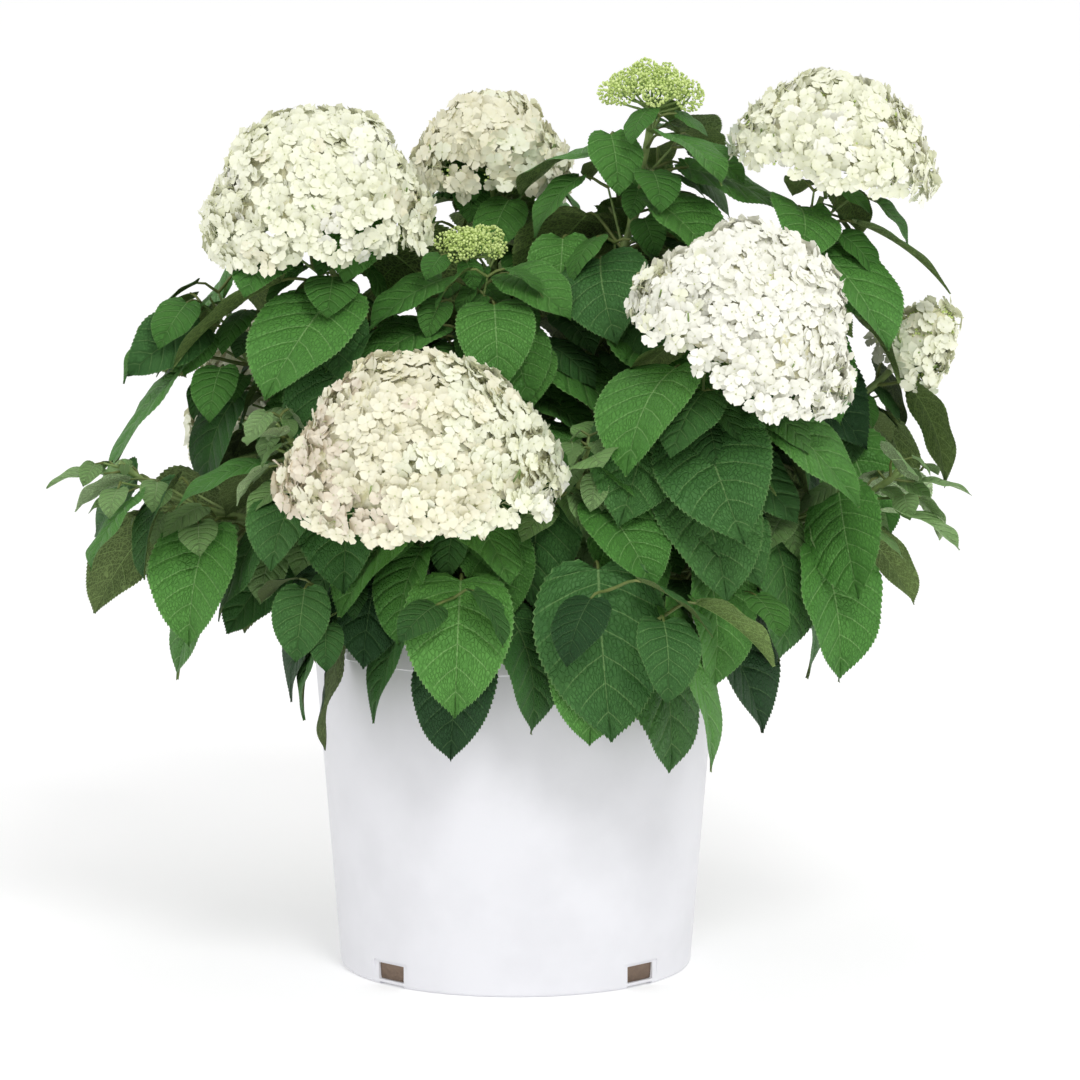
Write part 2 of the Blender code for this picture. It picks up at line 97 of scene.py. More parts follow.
class Board:
    # a node tree, where add() makes any node from its type, settings and inputs
    def __init__(self, tree):
        self.tree = tree

    def feed(self, node, name, value):
        offered = [socket for socket in node.inputs if socket.enabled]
        socket = offered[name] if isinstance(name, int) else next(
            found for found in offered if found.name == name)
        if isinstance(value, Wire):
            self.tree.links.new(value.socket, socket)
        else:
            socket.default_value = value

    def add(self, kind, settings=None, inputs=None, output=0):
        node = self.tree.nodes.new(kind)
        for name, value in (settings or {}).items():
            setattr(node, name, value)
        for name, value in (inputs or {}).items():
            self.feed(node, name, value)
        offered = [socket for socket in node.outputs if socket.enabled]
        if isinstance(output, str):
            return Wire(self, next(found for found in offered if found.name == output))
        return Wire(self, offered[output]) if offered else node

    def between(self, value, low, high, start=0.0, end=1.0):
        # a soft step from start to end as value goes from low to high
        return self.add("ShaderNodeMapRange", {"interpolation_type": "SMOOTHSTEP"}, {
            "Value": value, "From Min": low, "From Max": high, "To Min": start, "To Max": end})

    def larger(self, first, second):
        return self.add("ShaderNodeMath", {"operation": "MAXIMUM"}, {0: first, 1: second})

    def times(self, vector, scale):
        return self.add("ShaderNodeVectorMath", {"operation": "SCALE"}, {
            "Vector": vector, "Scale": scale})

    def noise(self, scale, detail, **where):
        return self.add("ShaderNodeTexNoise", None, {"Scale": scale, "Detail": detail, **where})


class Paint(Board):
    # a material with its Principled shader, whose constants are set on its own sockets
    def __init__(self, name, **constants):
        self.material = bpy.data.materials.new(name)
        self.material.use_nodes = True
        super().__init__(self.material.node_tree)
        self.shader = self.tree.nodes["Principled BSDF"]
        for socket, value in constants.items():
            self.shader.inputs[socket.replace("_", " ")].default_value = value

    def blend(self, factor, first, second):
        colours = [c if isinstance(c, Wire) else (*c, 1.0) for c in (first, second)]
        return self.add("ShaderNodeMix", {"data_type": "RGBA"}, {
            "Factor": factor, "A": colours[0], "B": colours[1]})

    def places(self, size):
        # object coordinates, so that a pattern of this size in metres has scale 1
        return self.times(self.add("ShaderNodeTexCoord", output="Object"), 1 / size)

    def cloud(self, size, detail=3.0):
        return self.noise(1.0, detail, Vector=self.places(size))

    def finish(self, colour, roughness=None, height=None, depth=0.001, strength=1.0):
        self.feed(self.shader, "Base Color", colour)
        if roughness is not None:
            self.feed(self.shader, "Roughness", roughness)
        if height is not None:
            self.feed(self.shader, "Normal", self.add("ShaderNodeBump", None, {
                "Height": height, "Distance": depth, "Strength": strength}))
        return self.material


class Plan(Board):
    # a geometry tree with named inputs; it ends in Realize Instances and Set Material
    def __init__(self, name, **sizes):
        super().__init__(bpy.data.node_groups.new(name, "GeometryNodeTree"))
        kinds = {int: "NodeSocketInt", float: "NodeSocketFloat", "material": "NodeSocketMaterial",
                 "collection": "NodeSocketCollection"}
        self.tree.interface.new_socket(
            "Geometry", in_out="INPUT", socket_type="NodeSocketGeometry")
        for title, kind in sizes.items():
            self.tree.interface.new_socket(title, in_out="INPUT", socket_type=kinds[kind])
        self.tree.interface.new_socket(
            "Geometry", in_out="OUTPUT", socket_type="NodeSocketGeometry")
        self.door = self.tree.nodes.new("NodeGroupInput")

    def given(self, title):
        return Wire(self, self.door.outputs[title])

    def stored(self, title, kind="FLOAT"):
        return self.add("GeometryNodeInputNamedAttribute", {"data_type": kind}, {"Name": title})

    def drawn(self, low, high, **seed):
        kind = "FLOAT_VECTOR" if isinstance(low, tuple) else "FLOAT"
        return self.add("FunctionNodeRandomValue", {"data_type": kind}, {
            "Min": low, "Max": high, **seed})

    def moved(self, geometry, offset):
        return self.add("GeometryNodeSetPosition", None, {
            "Geometry": geometry, "Offset": offset})

    def smooth(self, geometry):
        return self.add("GeometryNodeSetShadeSmooth", None, {"Geometry": geometry})

    def dropped(self, points, test):
        return self.add("GeometryNodeDeleteGeometry", {"domain": "POINT"}, {
            "Geometry": points, "Selection": test})

    def scattered(self, mesh, spacing, density, seed, **where):
        return self.add("GeometryNodeDistributePointsOnFaces", {"distribute_method": "POISSON"}, {
            "Mesh": mesh, "Distance Min": spacing, "Density Max": density, "Seed": seed, **where})

    def setOut(self, points, title, **places):
        # one of the collection's objects at each point
        kinds = self.add("GeometryNodeCollectionInfo", None, {
            "Collection": self.given(title), "Separate Children": True, "Reset Children": True})
        inputs = {"Points": points, "Instance": kinds, "Pick Instance": True}
        for name, value in places.items():
            inputs[name.replace("_", " ")] = value
        return self.add("GeometryNodeInstanceOnPoints", None, inputs)

    def end(self, geometry, *coats):
        # coats are (material, selection or None), the last one on top
        done = self.add("GeometryNodeRealizeInstances", None, {"Geometry": geometry})
        for material, selection in coats:
            inputs = {"Geometry": done, "Material": material}
            if selection is not None:
                inputs["Selection"] = selection
            done = self.add("GeometryNodeSetMaterial", None, inputs)
        way = self.tree.nodes.new("NodeGroupOutput")
        self.tree.links.new(done.socket, way.inputs["Geometry"])

    def grow(self, name, mesh, **sizes):
        # the plain mesh that the tree makes from a mesh, as a new object
        host = shown(name, mesh)
        maker = host.modifiers.new("growth", "NODES")
        maker.node_group = self.tree
        for item in self.tree.interface.items_tree:
            if item.in_out == "INPUT" and item.name in sizes:
                maker[item.identifier] = sizes[item.name]
        bpy.context.view_layer.update()
        depsgraph = bpy.context.evaluated_depsgraph_get()
        grown = bpy.data.meshes.new_from_object(
            host.evaluated_get(depsgraph), preserve_all_data_layers=True, depsgraph=depsgraph)
        host.modifiers.clear()
        host.data = grown
        return host


def polar(azimuth, reach, height=0.0):
    angle = math.radians(azimuth)
    return Vector((reach * math.cos(angle), reach * math.sin(angle), height))


def cubic(points, t):
    a, b, c, d = points
    u = 1 - t
    return a * u ** 3 + b * (3 * u * u * t) + c * (3 * u * t * t) + d * t ** 3


def shown(name, data):
    obj = bpy.data.objects.new(name, data)
    bpy.context.scene.collection.objects.link(obj)
    return obj


def newMesh(name, verts, faces, edges=()):
    mesh = bpy.data.meshes.new(name)
    mesh.from_pydata([tuple(vert) for vert in verts], list(edges), faces)
    return mesh


def newObject(name, verts, faces, material=None, smooth=True):
    mesh = newMesh(name, verts, faces)
    if smooth:
        mesh.shade_smooth()
    if material:
        mesh.materials.append(material)
    return shown(name, mesh)


def sphere(fineness, radius=1.0):
    shape = bmesh.new()
    bmesh.ops.create_icosphere(shape, subdivisions=fineness, radius=radius)
    return shape


def meshOf(name, shape):
    mesh = bpy.data.meshes.new(name)
    shape.to_mesh(mesh)
    shape.free()
    return mesh


def partsOf(shape):
    verts = [vert.co.copy() for vert in shape.verts]
    faces = [tuple(vert.index for vert in face.verts) for face in shape.faces]
    shape.free()
    return verts, faces


def treeOf(mesh):
    return BVHTree.FromPolygons([vert.co.copy() for vert in mesh.vertices],
                                [tuple(face.vertices) for face in mesh.polygons])


def store(mesh, title, kind, domain, values):
    layer = mesh.attributes.new(title, kind, domain)
    if kind == "FLOAT_VECTOR":
        layer.data.foreach_set("vector", [part for value in values for part in value])
    else:
        layer.data.foreach_set("value", values)


def discard(*objects):
    for obj in objects:
        bpy.data.objects.remove(obj, do_unlink=True)


def settle(piece, nodes):
    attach(piece, "root")
    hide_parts(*nodes)
    print(piece.name, len(piece.data.polygons), "faces")


def turnedShape(profile, steps):
    # vertices and faces of a profile, from axis to axis, turned about Z
    verts = [(0.0, 0.0, profile[0][1]), (0.0, 0.0, profile[-1][1])]
    rings = profile[1:-1]
    for radius, height in rings:
        verts += [polar(360 * step / steps, radius, height) for step in range(steps)]
    faces = []
    for step in range(steps):
        a, b = step, (step + 1) % steps
        faces.append((0, 2 + a, 2 + b))
        last = 2 + (len(rings) - 1) * steps
        faces.append((1, last + b, last + a))
        for ring in range(len(rings) - 1):
            low = 2 + ring * steps
            faces.append((low + a, low + steps + a, low + steps + b, low + b))
    return verts, faces


def arc(centre, radius, start, end, steps):
    # points of an arc in the (radius, height) plane, angles in degrees
    for step in range(steps + 1):
        angle = math.radians(start + (end - start) * step / steps)
        yield (centre[0] + radius * math.cos(angle), centre[1] + radius * math.sin(angle))


# the pot: sizes in metres
potLow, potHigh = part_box("pot")
pot = {
    "height": potHigh.z,
    "rimRadius": potHigh.x,
    "footRadius": 0.1195,
    "footRound": 0.0032,
    "rimBand": 0.010,           # the rim's upper band
    "collarBand": 0.016,        # the lower one under it
    "bandStep": 0.0012,         # how far each stands out
    "bandRound": 0.0007,
    "wall": 0.0022,
    "floor": 0.0035,
    "lip": 0.0012,              # the roundings of the rim, within and without
    "rimRound": 0.0014,
    "corner": 0.002,            # between the wall and the floor, within
    "stations": (0.18, 0.12, 0.06, 0.024),
    "steps": 240,
    "slots": 4,                 # drain slots, each in a flattened pocket at the foot
    "slotTurn": 45,
    "slotSize": (0.024, 0.0115),
    "pocketSize": (0.032, 0.0175),
    "pocketDepth": 0.0006,
    "groove": 0.002,
    "ledge": 0.0003,            # from the floor up to the slot
    "cutRounds": (0.002, 0.0006, 0.0004),
    "cutDepth": 0.02,
    "colour": (0.80, 0.80, 0.835),
    "worn": 0.94,
    "wear": (0.35, 0.75),       # where the clouds of wear set in
    "cloud": 0.05,
    "grain": 0.0015,
    "roughness": 0.36,
    "dullness": 0.12,
    "bump": (0.00012, 0.35),
    "sharpFrom": math.radians(38),
}


def potWall(height):
    top = pot["height"] - pot["rimBand"] - pot["collarBand"]
    wide = pot["rimRadius"] - 2 * pot["bandStep"]
    return pot["footRadius"] + (wide - pot["footRadius"]) * height / top


def potProfile():
    top, rim = pot["height"], pot["rimRadius"]
    step, bend, wall = pot["bandStep"], pot["bandRound"], pot["wall"]
    collarFoot = top - pot["rimBand"] - pot["collarBand"]
    inside = rim - 2 * step - wall
    corner, lip, lap = pot["corner"], pot["lip"], pot["rimRound"]
    profile = [(0.0, pot["floor"]), (pot["footRadius"] - wall - corner, pot["floor"])]
    profile += [(pot["footRadius"] - wall, pot["floor"] + corner), (inside, collarFoot)]
    profile += list(arc((inside + lip, top - lip), lip, 180, 90, 4))
    profile += list(arc((rim - lap, top - lap), lap, 90, 0, 6))
    for foot, radius in ((top - pot["rimBand"], rim), (collarFoot, rim - step)):
        profile += list(arc((radius - bend, foot + bend), bend, 0, -75, 4))
        profile += list(arc((radius - step + bend, foot - bend), bend, 105, 180, 4))
    profile += [(potWall(height), height) for height in pot["stations"]]
    bend = pot["footRound"]
    profile += list(arc((potWall(bend) - bend, bend), bend, 0, -90, 6))
    profile.append((0.0, 0.0))
    return profile


def roundedBox(name, size, round, azimuth, reach, height):
    # a cutter whose edges along the pot's radius are rounded
    shape = bmesh.new()
    bmesh.ops.create_cube(shape, size=1.0, matrix=Matrix.Diagonal((*size, 1.0)))
    along = [edge for edge in shape.edges
             if abs(edge.verts[0].co.x - edge.verts[1].co.x) > size[0] / 2]
    bmesh.ops.bevel(shape, geom=along, offset=round, segments=4, affect="EDGES", profile=0.5)
    place = Matrix.Translation(polar(azimuth, reach, height))
    shape.transform(place @ Matrix.Rotation(math.radians(azimuth), 4, "Z"))
    cutter = shown(name, meshOf(name, shape))
    cutter.hide_render = True
    return cutter


def makePot():
    verts, faces = turnedShape(potProfile(), pot["steps"])
    shell = newObject("nurseryPot", verts, faces)
    cutters = []
    deep, reach = pot["cutDepth"], pot["footRadius"]
    wide, tall = pot["pocketSize"]
    slotWide, slotTall = pot["slotSize"]
    cuts = (("pocket", (deep, wide, tall + deep), reach - pot["pocketDepth"] + deep / 2,
             (tall - deep) / 2),
            ("slot", (deep, slotWide, slotTall), reach,
             pot["floor"] + pot["ledge"] + slotTall / 2),
            ("groove", (2 * deep, slotWide, 2 * pot["groove"]), reach, 0.0))
    for index in range(pot["slots"]):
        azimuth = pot["slotTurn"] + 360 / pot["slots"] * index
        for (name, size, out, height), bend in zip(cuts, pot["cutRounds"]):
            cutters.append(roundedBox(name, size, bend, azimuth, out, height))
    for cutter in cutters:
        cut = shell.modifiers.new(cutter.name, "BOOLEAN")
        cut.operation = "DIFFERENCE"
        cut.object = cutter
    bpy.context.view_layer.update()
    depsgraph = bpy.context.evaluated_depsgraph_get()
    mesh = bpy.data.meshes.new_from_object(shell.evaluated_get(depsgraph))
    shell.modifiers.clear()
    discard(*cutters)
    mesh.set_sharp_from_angle(angle=pot["sharpFrom"])
    mesh.materials.clear()
    mesh.materials.append(potPaint())
    shell.data = mesh
    settle(shell, ["pot"])


def potPaint():
    paint = Paint("potPlastic", IOR=1.48)
    cloud = paint.cloud(pot["cloud"], 4.0)
    grain = paint.cloud(pot["grain"], 2.0)
    worn = tuple(pot["worn"] * c for c in pot["colour"])
    colour = paint.blend(paint.between(cloud, *pot["wear"]), pot["colour"], worn)
    rough = pot["roughness"] + pot["dullness"] * cloud
    return paint.finish(colour, rough, grain + 2.0 * cloud, *pot["bump"])


# the potting mix and the bark chips on it
soil = {
    "top": 0.225,
    "crowning": 0.004,
    "gap": 0.0006,
    "rings": 26,
    "steps": 96,
    "relief": 0.0035,
    "reliefSize": 0.012,
    "flatEdge": 0.004,                  # along the wall it stays even
    "walls": (0.75, 0.5, 0.25, 0.0),    # rings down its side, as shares of its height
    "chipKinds": 4,
    "chipForm": ((1.0, 0.3), (0.55, 0.2), (0.30, 0.1)),     # size and luck along each axis
    "chipLean": 0.5,
    "chipSpacing": 0.0042,
    "chipSize": 0.0042,
    "chipSizes": (0.4, 1.2),            # share of that size
    "chipDensity": 90000.0,
    "chipLight": (0.17, 0.11, 0.065),
    "paintedSlotLightHeight": (0.022, 0.030),
    "paintedSlotLightShare": 0.75,
    "crumb": 0.004,
    "bump": (0.0015, 0.8),
    "dark": (0.060, 0.040, 0.026),
    "paintedSlotLight": (0.260, 0.185, 0.135),      # painted light: the soil shows paler behind the drain slots
    "light": (0.210, 0.150, 0.105),
}


def soilPaint(name, light):
    paint = Paint(name, Roughness=0.95)
    crumbs = paint.cloud(soil["crumb"], 5.0)
    colour = paint.blend(paint.between(crumbs, 0.35, 0.7), soil["dark"], light)
    high = paint.add("ShaderNodeSeparateXYZ", None, {0: paint.places(1.0)}, "Z")
    # painted light: the soil is paler low down, where it shows through the drain slots
    paintedSlotLight = paint.between(high, *soil["paintedSlotLightHeight"], soil["paintedSlotLightShare"], 0.0)
    colour = paint.blend(paintedSlotLight, colour, soil["paintedSlotLight"])
    return paint.finish(colour, None, crumbs, *soil["bump"])


def chipShapes():
    chips = bpy.data.collections.new("chips")
    dice = random.Random(3)
    for kind in range(soil["chipKinds"]):
        shape = sphere(1)
        for vert in shape.verts:
            for axis, (size, luck) in enumerate(soil["chipForm"]):
                vert.co[axis] *= size + dice.uniform(-luck, luck)
        name = f"chip{kind}"
        chips.objects.link(bpy.data.objects.new(name, meshOf(name, shape)))
    return chips


def chipPlan():
    # chips on the faces that look up, closer to the axis than Reach
    plan = Plan("scatteredChips", Spacing=float, Size=float, Reach=float, Seed=int,
                Chips="collection", Material="material")
    level = plan.add("ShaderNodeSeparateXYZ", None, {
        0: plan.add("GeometryNodeInputNormal")}, "Z")
    where = plan.add("ShaderNodeVectorMath", {"operation": "MULTIPLY"}, {
        0: plan.add("GeometryNodeInputPosition"), 1: (1.0, 1.0, 0.0)})
    reach = plan.add("ShaderNodeVectorMath", {"operation": "LENGTH"}, {0: where}, "Value")
    points = plan.scattered(
        plan.given("Geometry"), plan.given("Spacing"), soil["chipDensity"], plan.given("Seed"),
        Selection=(level > 0.5) * (plan.given("Reach") - reach > 0.0))
    lean = soil["chipLean"]
    turn = plan.drawn((-lean, -lean, 0.0), (lean, lean, 6.28))
    laid = plan.setOut(points, "Chips", Rotation=turn,
                       Scale=plan.drawn(*soil["chipSizes"]) * plan.given("Size"))
    plan.end(laid, (plan.given("Material"), None))
    return plan


def makeSoil():
    bottom = pot["floor"] + soil["gap"]
    rings = [(0.0, soil["top"] + soil["crowning"])]
    wide = potWall(soil["top"]) - pot["wall"] - soil["gap"]
    for ring in range(1, soil["rings"] + 1):
        share = ring / soil["rings"]
        rings.append((wide * share, soil["top"] + soil["crowning"] * (1 - share ** 2)))
    for share in soil["walls"]:
        height = bottom + (soil["top"] - bottom) * share
        rings.append((potWall(height) - pot["wall"] - soil["gap"], height))
    rings.append((0.0, bottom))
    verts, faces = turnedShape(rings, soil["steps"])
    for index, place in enumerate(verts):
        place = Vector(place)
        if place.z > soil["top"] - 0.001 and place.xy.length < wide - soil["flatEdge"]:
            rough = noise.fractal(place / soil["reliefSize"], 1.0, 2.0, 4)
            place.z += soil["relief"] * rough
        verts[index] = place
    bed = newObject("pottingMix", verts, faces, soilPaint("pottingMix", soil["light"]))
    scraps = chipPlan().grow(
        "barkChips", bed.data.copy(), Spacing=soil["chipSpacing"], Size=soil["chipSize"],
        Seed=4, Chips=chipShapes(), Reach=wide - 1.4 * soil["chipSize"],
        Material=soilPaint("barkChips", soil["chipLight"]))
    settle(bed, ["potting_mix"])
    settle(scraps, ["potting_mix"])


# how shoots grow: sizes in metres, angles in degrees
growth = {
    "soilHeight": 0.2293,       # the foot of the woody stem
    "crownRadius": 0.034,
    "crownStem": 0.009,
    "gap": 0.0003,
    "caneRadius": (0.0036, 0.0019),
    "arch": 0.35,
    "pairDrop": 0.008,
    "headDrop": 0.010,
    "headStalk": 0.50,
    "lateness": 3,              # young leaves are small and lifted only close to the tip
    "petiole": 0.42,
    "petioleRadius": 0.0011,
    "petioleDepth": 0.0018,
    "petioleAim": (0.60, 0.80, 0.50),
    "petioleInStem": 0.2,
    "bladeWidth": 0.74,
    "bladeStations": ((0.0, 0.05), (0.18, 0.95), (0.58, 0.85)),
    "towardsLight": 0.75,
    "bladeDepth": 0.026,
    "bladeCurl": math.radians(34),
    "clearance": 0.0008,
    "tries": 14,
    "swingStep": 6.0,
    "droopStep": 2.0,
    "shrinkStep": 0.022,
    "turnSpread": 12,
    "droopSpread": 10,
    "lengthSpread": (0.92, 1.10),
    "seed": 29,
    "headLumps": 0.11,
    "headLumpSize": 0.030,
    "headHollow": 0.12,
    "headSlope": 0.14,          # how much slimmer than a ball a head is, halfway up
    "largeHead": 0.050,
    "stemInHead": 0.40,         # how far the stem runs up into it, as a share of the height
}

# A shoot runs from the woody stem to its tip: azimuth, distance from the pot's axis and
# height. It leans outward there by lean, and its share bare carries no leaves. Its pairs
# of leaves shrink upward from leaf to leaf * taper, hang by droop, of which the share
# lift is gone at the tip, and roll by up to twist. The lowest pair faces turn.
Shoot = namedtuple(
    "Shoot", "name azimuth reach height lean bare pairs leaf taper droop lift twist turn")
shoots = (
    Shoot("low_front", -103, 0.170, 0.272, 98, 0.66, 3, 0.088, 0.95, 76, 0.0, 20, 0),
    Shoot("low_middle", -71, 0.176, 0.276, 96, 0.66, 3, 0.108, 0.95, 78, 0.0, 25, 0),
    Shoot("low_right", -43, 0.176, 0.280, 96, 0.64, 4, 0.102, 0.90, 78, 0.0, 30, 90),
    Shoot("low_left", -129, 0.166, 0.276, 96, 0.66, 3, 0.088, 0.95, 76, 0.0, 35, 60),
    Shoot("young_left", -149, 0.180, 0.385, 22, 0.36, 6, 0.100, 0.42, 60, 0.9, 30, 0),
    Shoot("young_front", -72, 0.155, 0.380, 18, 0.36, 6, 0.106, 0.42, 60, 0.9, 25, 0),
    Shoot("side_left", -172, 0.270, 0.352, 46, 0.38, 6, 0.100, 0.42, 76, 0.9, 60, 90),
    Shoot("side_right", -14, 0.266, 0.350, 46, 0.38, 6, 0.100, 0.42, 76, 0.9, 60, 90),
    Shoot("bud_front", -133, 0.041, 0.498, 4, 0.36, 7, 0.100, 0.62, 50, 0.3, 20, 15),
    Shoot("bud_top", 12, 0.094, 0.593, 3, 0.36, 8, 0.106, 0.66, 44, 0.4, 20, 0),
    Shoot("bloom_front", -111, 0.172, 0.366, 12, 0.36, 5, 0.098, 0.85, 60, 0.2, 25, 90),
    Shoot("bloom_middle", -39, 0.192, 0.450, 22, 0.36, 6, 0.106, 0.90, 58, 0.3, 30, 80),
    Shoot("leafy_right", -50, 0.150, 0.335, 36, 0.36, 5, 0.106, 0.85, 62, 0.3, 30, 45),
    Shoot("bloom_left", 180, 0.134, 0.520, 6, 0.36, 7, 0.106, 0.86, 50, 0.3, 35, 0),
    Shoot("bloom_right", 0, 0.215, 0.557, 10, 0.36, 7, 0.100, 0.76, 46, 0.3, 40, 0),
    Shoot("bloom_small", 7, 0.271, 0.417, 42, 0.36, 6, 0.084, 0.80, 76, 0.0, 50, 60),
    Shoot("shoulder_left", 170, 0.198, 0.438, 18, 0.36, 6, 0.110, 0.80, 62, 0.3, 55, 0),
    Shoot("shoulder_right", 38, 0.190, 0.450, 18, 0.36, 6, 0.100, 0.75, 54, 0.3, 50, 90),
    Shoot("bloom_back", 97.5, 0.132, 0.539, 5, 0.36, 7, 0.100, 0.80, 48, 0.3, 30, 0),
    Shoot("bloom_back_left", 138, 0.212, 0.365, 26, 0.36, 5, 0.100, 0.85, 58, 0.3, 30, 45),
    Shoot("bloom_back_right", 58, 0.208, 0.380, 24, 0.36, 5, 0.100, 0.85, 58, 0.3, 30, 30),
    Shoot("bloom_back_low", 98, 0.225, 0.335, 36, 0.36, 5, 0.100, 0.85, 62, 0.3, 30, 0),
    Shoot("low_back_left", 158, 0.162, 0.290, 90, 0.64, 3, 0.094, 0.90, 74, 0.0, 35, 45),
    Shoot("low_back", 116, 0.178, 0.274, 96, 0.66, 3, 0.100, 0.90, 74, 0.0, 25, 0),
    Shoot("low_back_right", 50, 0.184, 0.276, 94, 0.66, 3, 0.100, 0.90, 74, 0.0, 30, 45),
    Shoot("low_far_right", 6, 0.165, 0.300, 90, 0.66, 3, 0.098, 0.90, 74, 0.0, 40, 90),
)

# A flower head at a shoot's tip: half width, height over its rim, how far the rim hangs
# and the tilt of its axis towards an azimuth; then the tone of its petals, from 0 white to
# 1 beige, how it changes to the right, and its share of green buds.
Head = namedtuple("Head", "radius height skirt tilt toward tone drift buds")
heads = {
    "bloom_left": Head(0.082, 0.070, 0.024, 5, 200, 0.40, 0.0, 0.10),
    "bloom_back": Head(0.058, 0.044, 0.022, 3, 90, 0.60, -1.0, 0.25),
    "bud_top": Head(0.035, 0.026, 0.006, 2, 0, 0.5, 0.0, 1.0),
    "bloom_right": Head(0.074, 0.056, 0.009, 13, -10, 0.34, 0.0, 0.30),
    "bloom_middle": Head(0.083, 0.080, 0.014, 26, -18, 0.10, -1.5, 0.12),
    "bloom_small": Head(0.032, 0.046, 0.010, 43, -10, 0.45, 0.0, 0.40),
    "bloom_front": Head(0.099, 0.079, 0.016, 8, -105, 0.62, -3.0, 0.06),
    "bud_front": Head(0.026, 0.015, 0.004, 4, -90, 0.5, 0.0, 1.0),
    "bloom_back_left": Head(0.076, 0.068, 0.020, 22, 138, 0.45, 0.0, 0.12),
    "bloom_back_right": Head(0.070, 0.064, 0.018, 20, 58, 0.30, 0.0, 0.18),
    "bloom_back_low": Head(0.060, 0.056, 0.016, 34, 98, 0.55, 0.0, 0.12),
}


class Path:
    # the line that a shoot follows from the woody stem to its tip
    def __init__(self, shoot):
        middle = Vector((0.0, 0.0, growth["soilHeight"] + growth["crownStem"]))
        tip = polar(shoot.azimuth, shoot.reach, shoot.height)
        ray = (tip - middle).normalized() + upward * growth["arch"]
        ray.normalize()
        foot = middle + ray * (growth["crownRadius"] + growth["gap"])
        lean = math.radians(shoot.lean)
        end = polar(shoot.azimuth, math.sin(lean), math.cos(lean))
        third = (tip - foot).length / 3
        self.points = (foot, foot + ray * third, tip - end * third, tip)
        self.length = 3 * third

    def at(self, t):
        return cubic(self.points, t)

    def slope(self, t):
        a, b, c, d = self.points
        u = 1 - t
        return ((b - a) * (u * u) + (c - b) * (2 * u * t) + (d - c) * (t * t)).normalized()

    def girth(self, t):
        foot, tip = growth["caneRadius"]
        return foot + (tip - foot) * t


class Leaf:
    # a place for a leaf, with the space that it keeps: rings of three points round it
    def __init__(self, root, along, outward, length, droop, roll):
        light = Vector((root.x, root.y, 0.0)).normalized() * growth["towardsLight"]
        self.heading = Vector((outward.x + light.x, outward.y + light.y, 0.0)).normalized()
        self.side = upward.cross(self.heading)
        aims = zip(growth["petioleAim"], (along, outward, self.heading))
        self.petiole = sum((aim * share for share, aim in aims), Vector()).normalized()
        self.along = along
        self.root = root
        self.base = root + self.petiole * (length * growth["petiole"])
        self.length = length
        self.droop = droop
        self.roll = roll

    def direction(self, t):
        pitch = self.droop + growth["bladeCurl"] * (t - 0.5)
        return self.heading * math.cos(pitch) - Vector((0.0, 0.0, math.sin(pitch)))

    def ring(self, centre, direction, roll, half, depth, margin):
        side = (self.side - direction * self.side.dot(direction)).normalized()
        side.rotate(Matrix.Rotation(roll, 3, direction))
        normal = direction.cross(side)
        top = centre + normal * margin
        across = side * (half + margin)
        return [top + across, top - across, centre - normal * (depth + margin)]

    def space(self, margin, start=0.0):
        radius, deep = growth["petioleRadius"], growth["petioleDepth"]
        foot = self.root.lerp(self.base, start)
        verts = self.ring(foot, self.petiole, 0.0, radius, deep, margin)
        centre = self.base
        last = 0.0
        for t, share in growth["bladeStations"]:
            centre = centre + self.direction((last + t) / 2) * (self.length * (t - last))
            direction = self.direction(t) if t else (self.petiole + self.direction(0)).normalized()
            half = self.length * growth["bladeWidth"] * share / 2
            verts += self.ring(centre, direction, self.roll, half,
                               self.length * growth["bladeDepth"], margin)
            last = t
        tip = centre + self.direction((last + 1) / 2) * (self.length * (1 - last) + margin)
        top = len(verts) - 3
        faces = [(2, 1, 0)]
        for i, j in ((0, 1), (1, 2), (2, 0)):
            for low in range(0, top, 3):
                faces.append((low + i, low + j, low + 3 + j))
                faces.append((low + i, low + 3 + j, low + 3 + i))
            faces.append((top + i, top + j, top + 3))
        return BVHTree.FromPolygons(verts + [tip], faces, all_triangles=False)

    def turn(self):
        # the blade's own X is its right, Y runs along it and Z is its upper face
        direction = self.direction(0.5)
        right = -self.side
        right.rotate(Matrix.Rotation(self.roll, 3, direction))
        face = right.cross(direction)
        return Matrix((right, direction, face)).transposed().to_euler()


def pairPlaces(shoot, path):
    drop = growth["pairDrop"]
    if shoot.name in heads:
        drop += growth["headDrop"] + heads[shoot.name].radius * growth["headStalk"]
    top = 1 - drop / path.length
    for pair in range(shoot.pairs):
        share = (pair + 0.5) / (shoot.pairs - 0.5)
        yield share, shoot.bare + (top - shoot.bare) * share


def heldLeaves(shoot, path):
    # each leaf as a list of ways to hold it: opposite pairs, turned by a quarter each time
    for pair, (share, t) in enumerate(pairPlaces(shoot, path)):
        along = path.slope(t)
        back = along.cross(Vector((1.0, 0.0, 0.0))).normalized()
        right = back.cross(along)
        for half in (0, 180):
            dice = random.Random(f"{growth['seed']} {shoot.name} {pair} {half}")
            spread = growth["turnSpread"]
            turn = shoot.turn + 90 * pair + half + dice.uniform(-spread, spread)
            length = shoot.leaf * (1 + (shoot.taper - 1) * share ** 2)
            length *= dice.uniform(*growth["lengthSpread"])
            spread = growth["droopSpread"]
            droop = shoot.droop * (1 - shoot.lift * share ** growth["lateness"])
            droop += dice.uniform(-spread, spread)
            roll = math.radians(dice.uniform(-shoot.twist, shoot.twist))
            ways = []
            for step in range(growth["tries"]):
                swing = math.radians(turn + dice.uniform(-1, 1) * step * growth["swingStep"])
                outward = right * math.cos(swing) + back * math.sin(swing)
                size = length * (1 - growth["shrinkStep"] * step)
                hang = math.radians(droop + dice.uniform(-1, 1) * step * growth["droopStep"])
                ways.append(Leaf(path.at(t), along, outward, size, hang, roll))
            yield share, ways


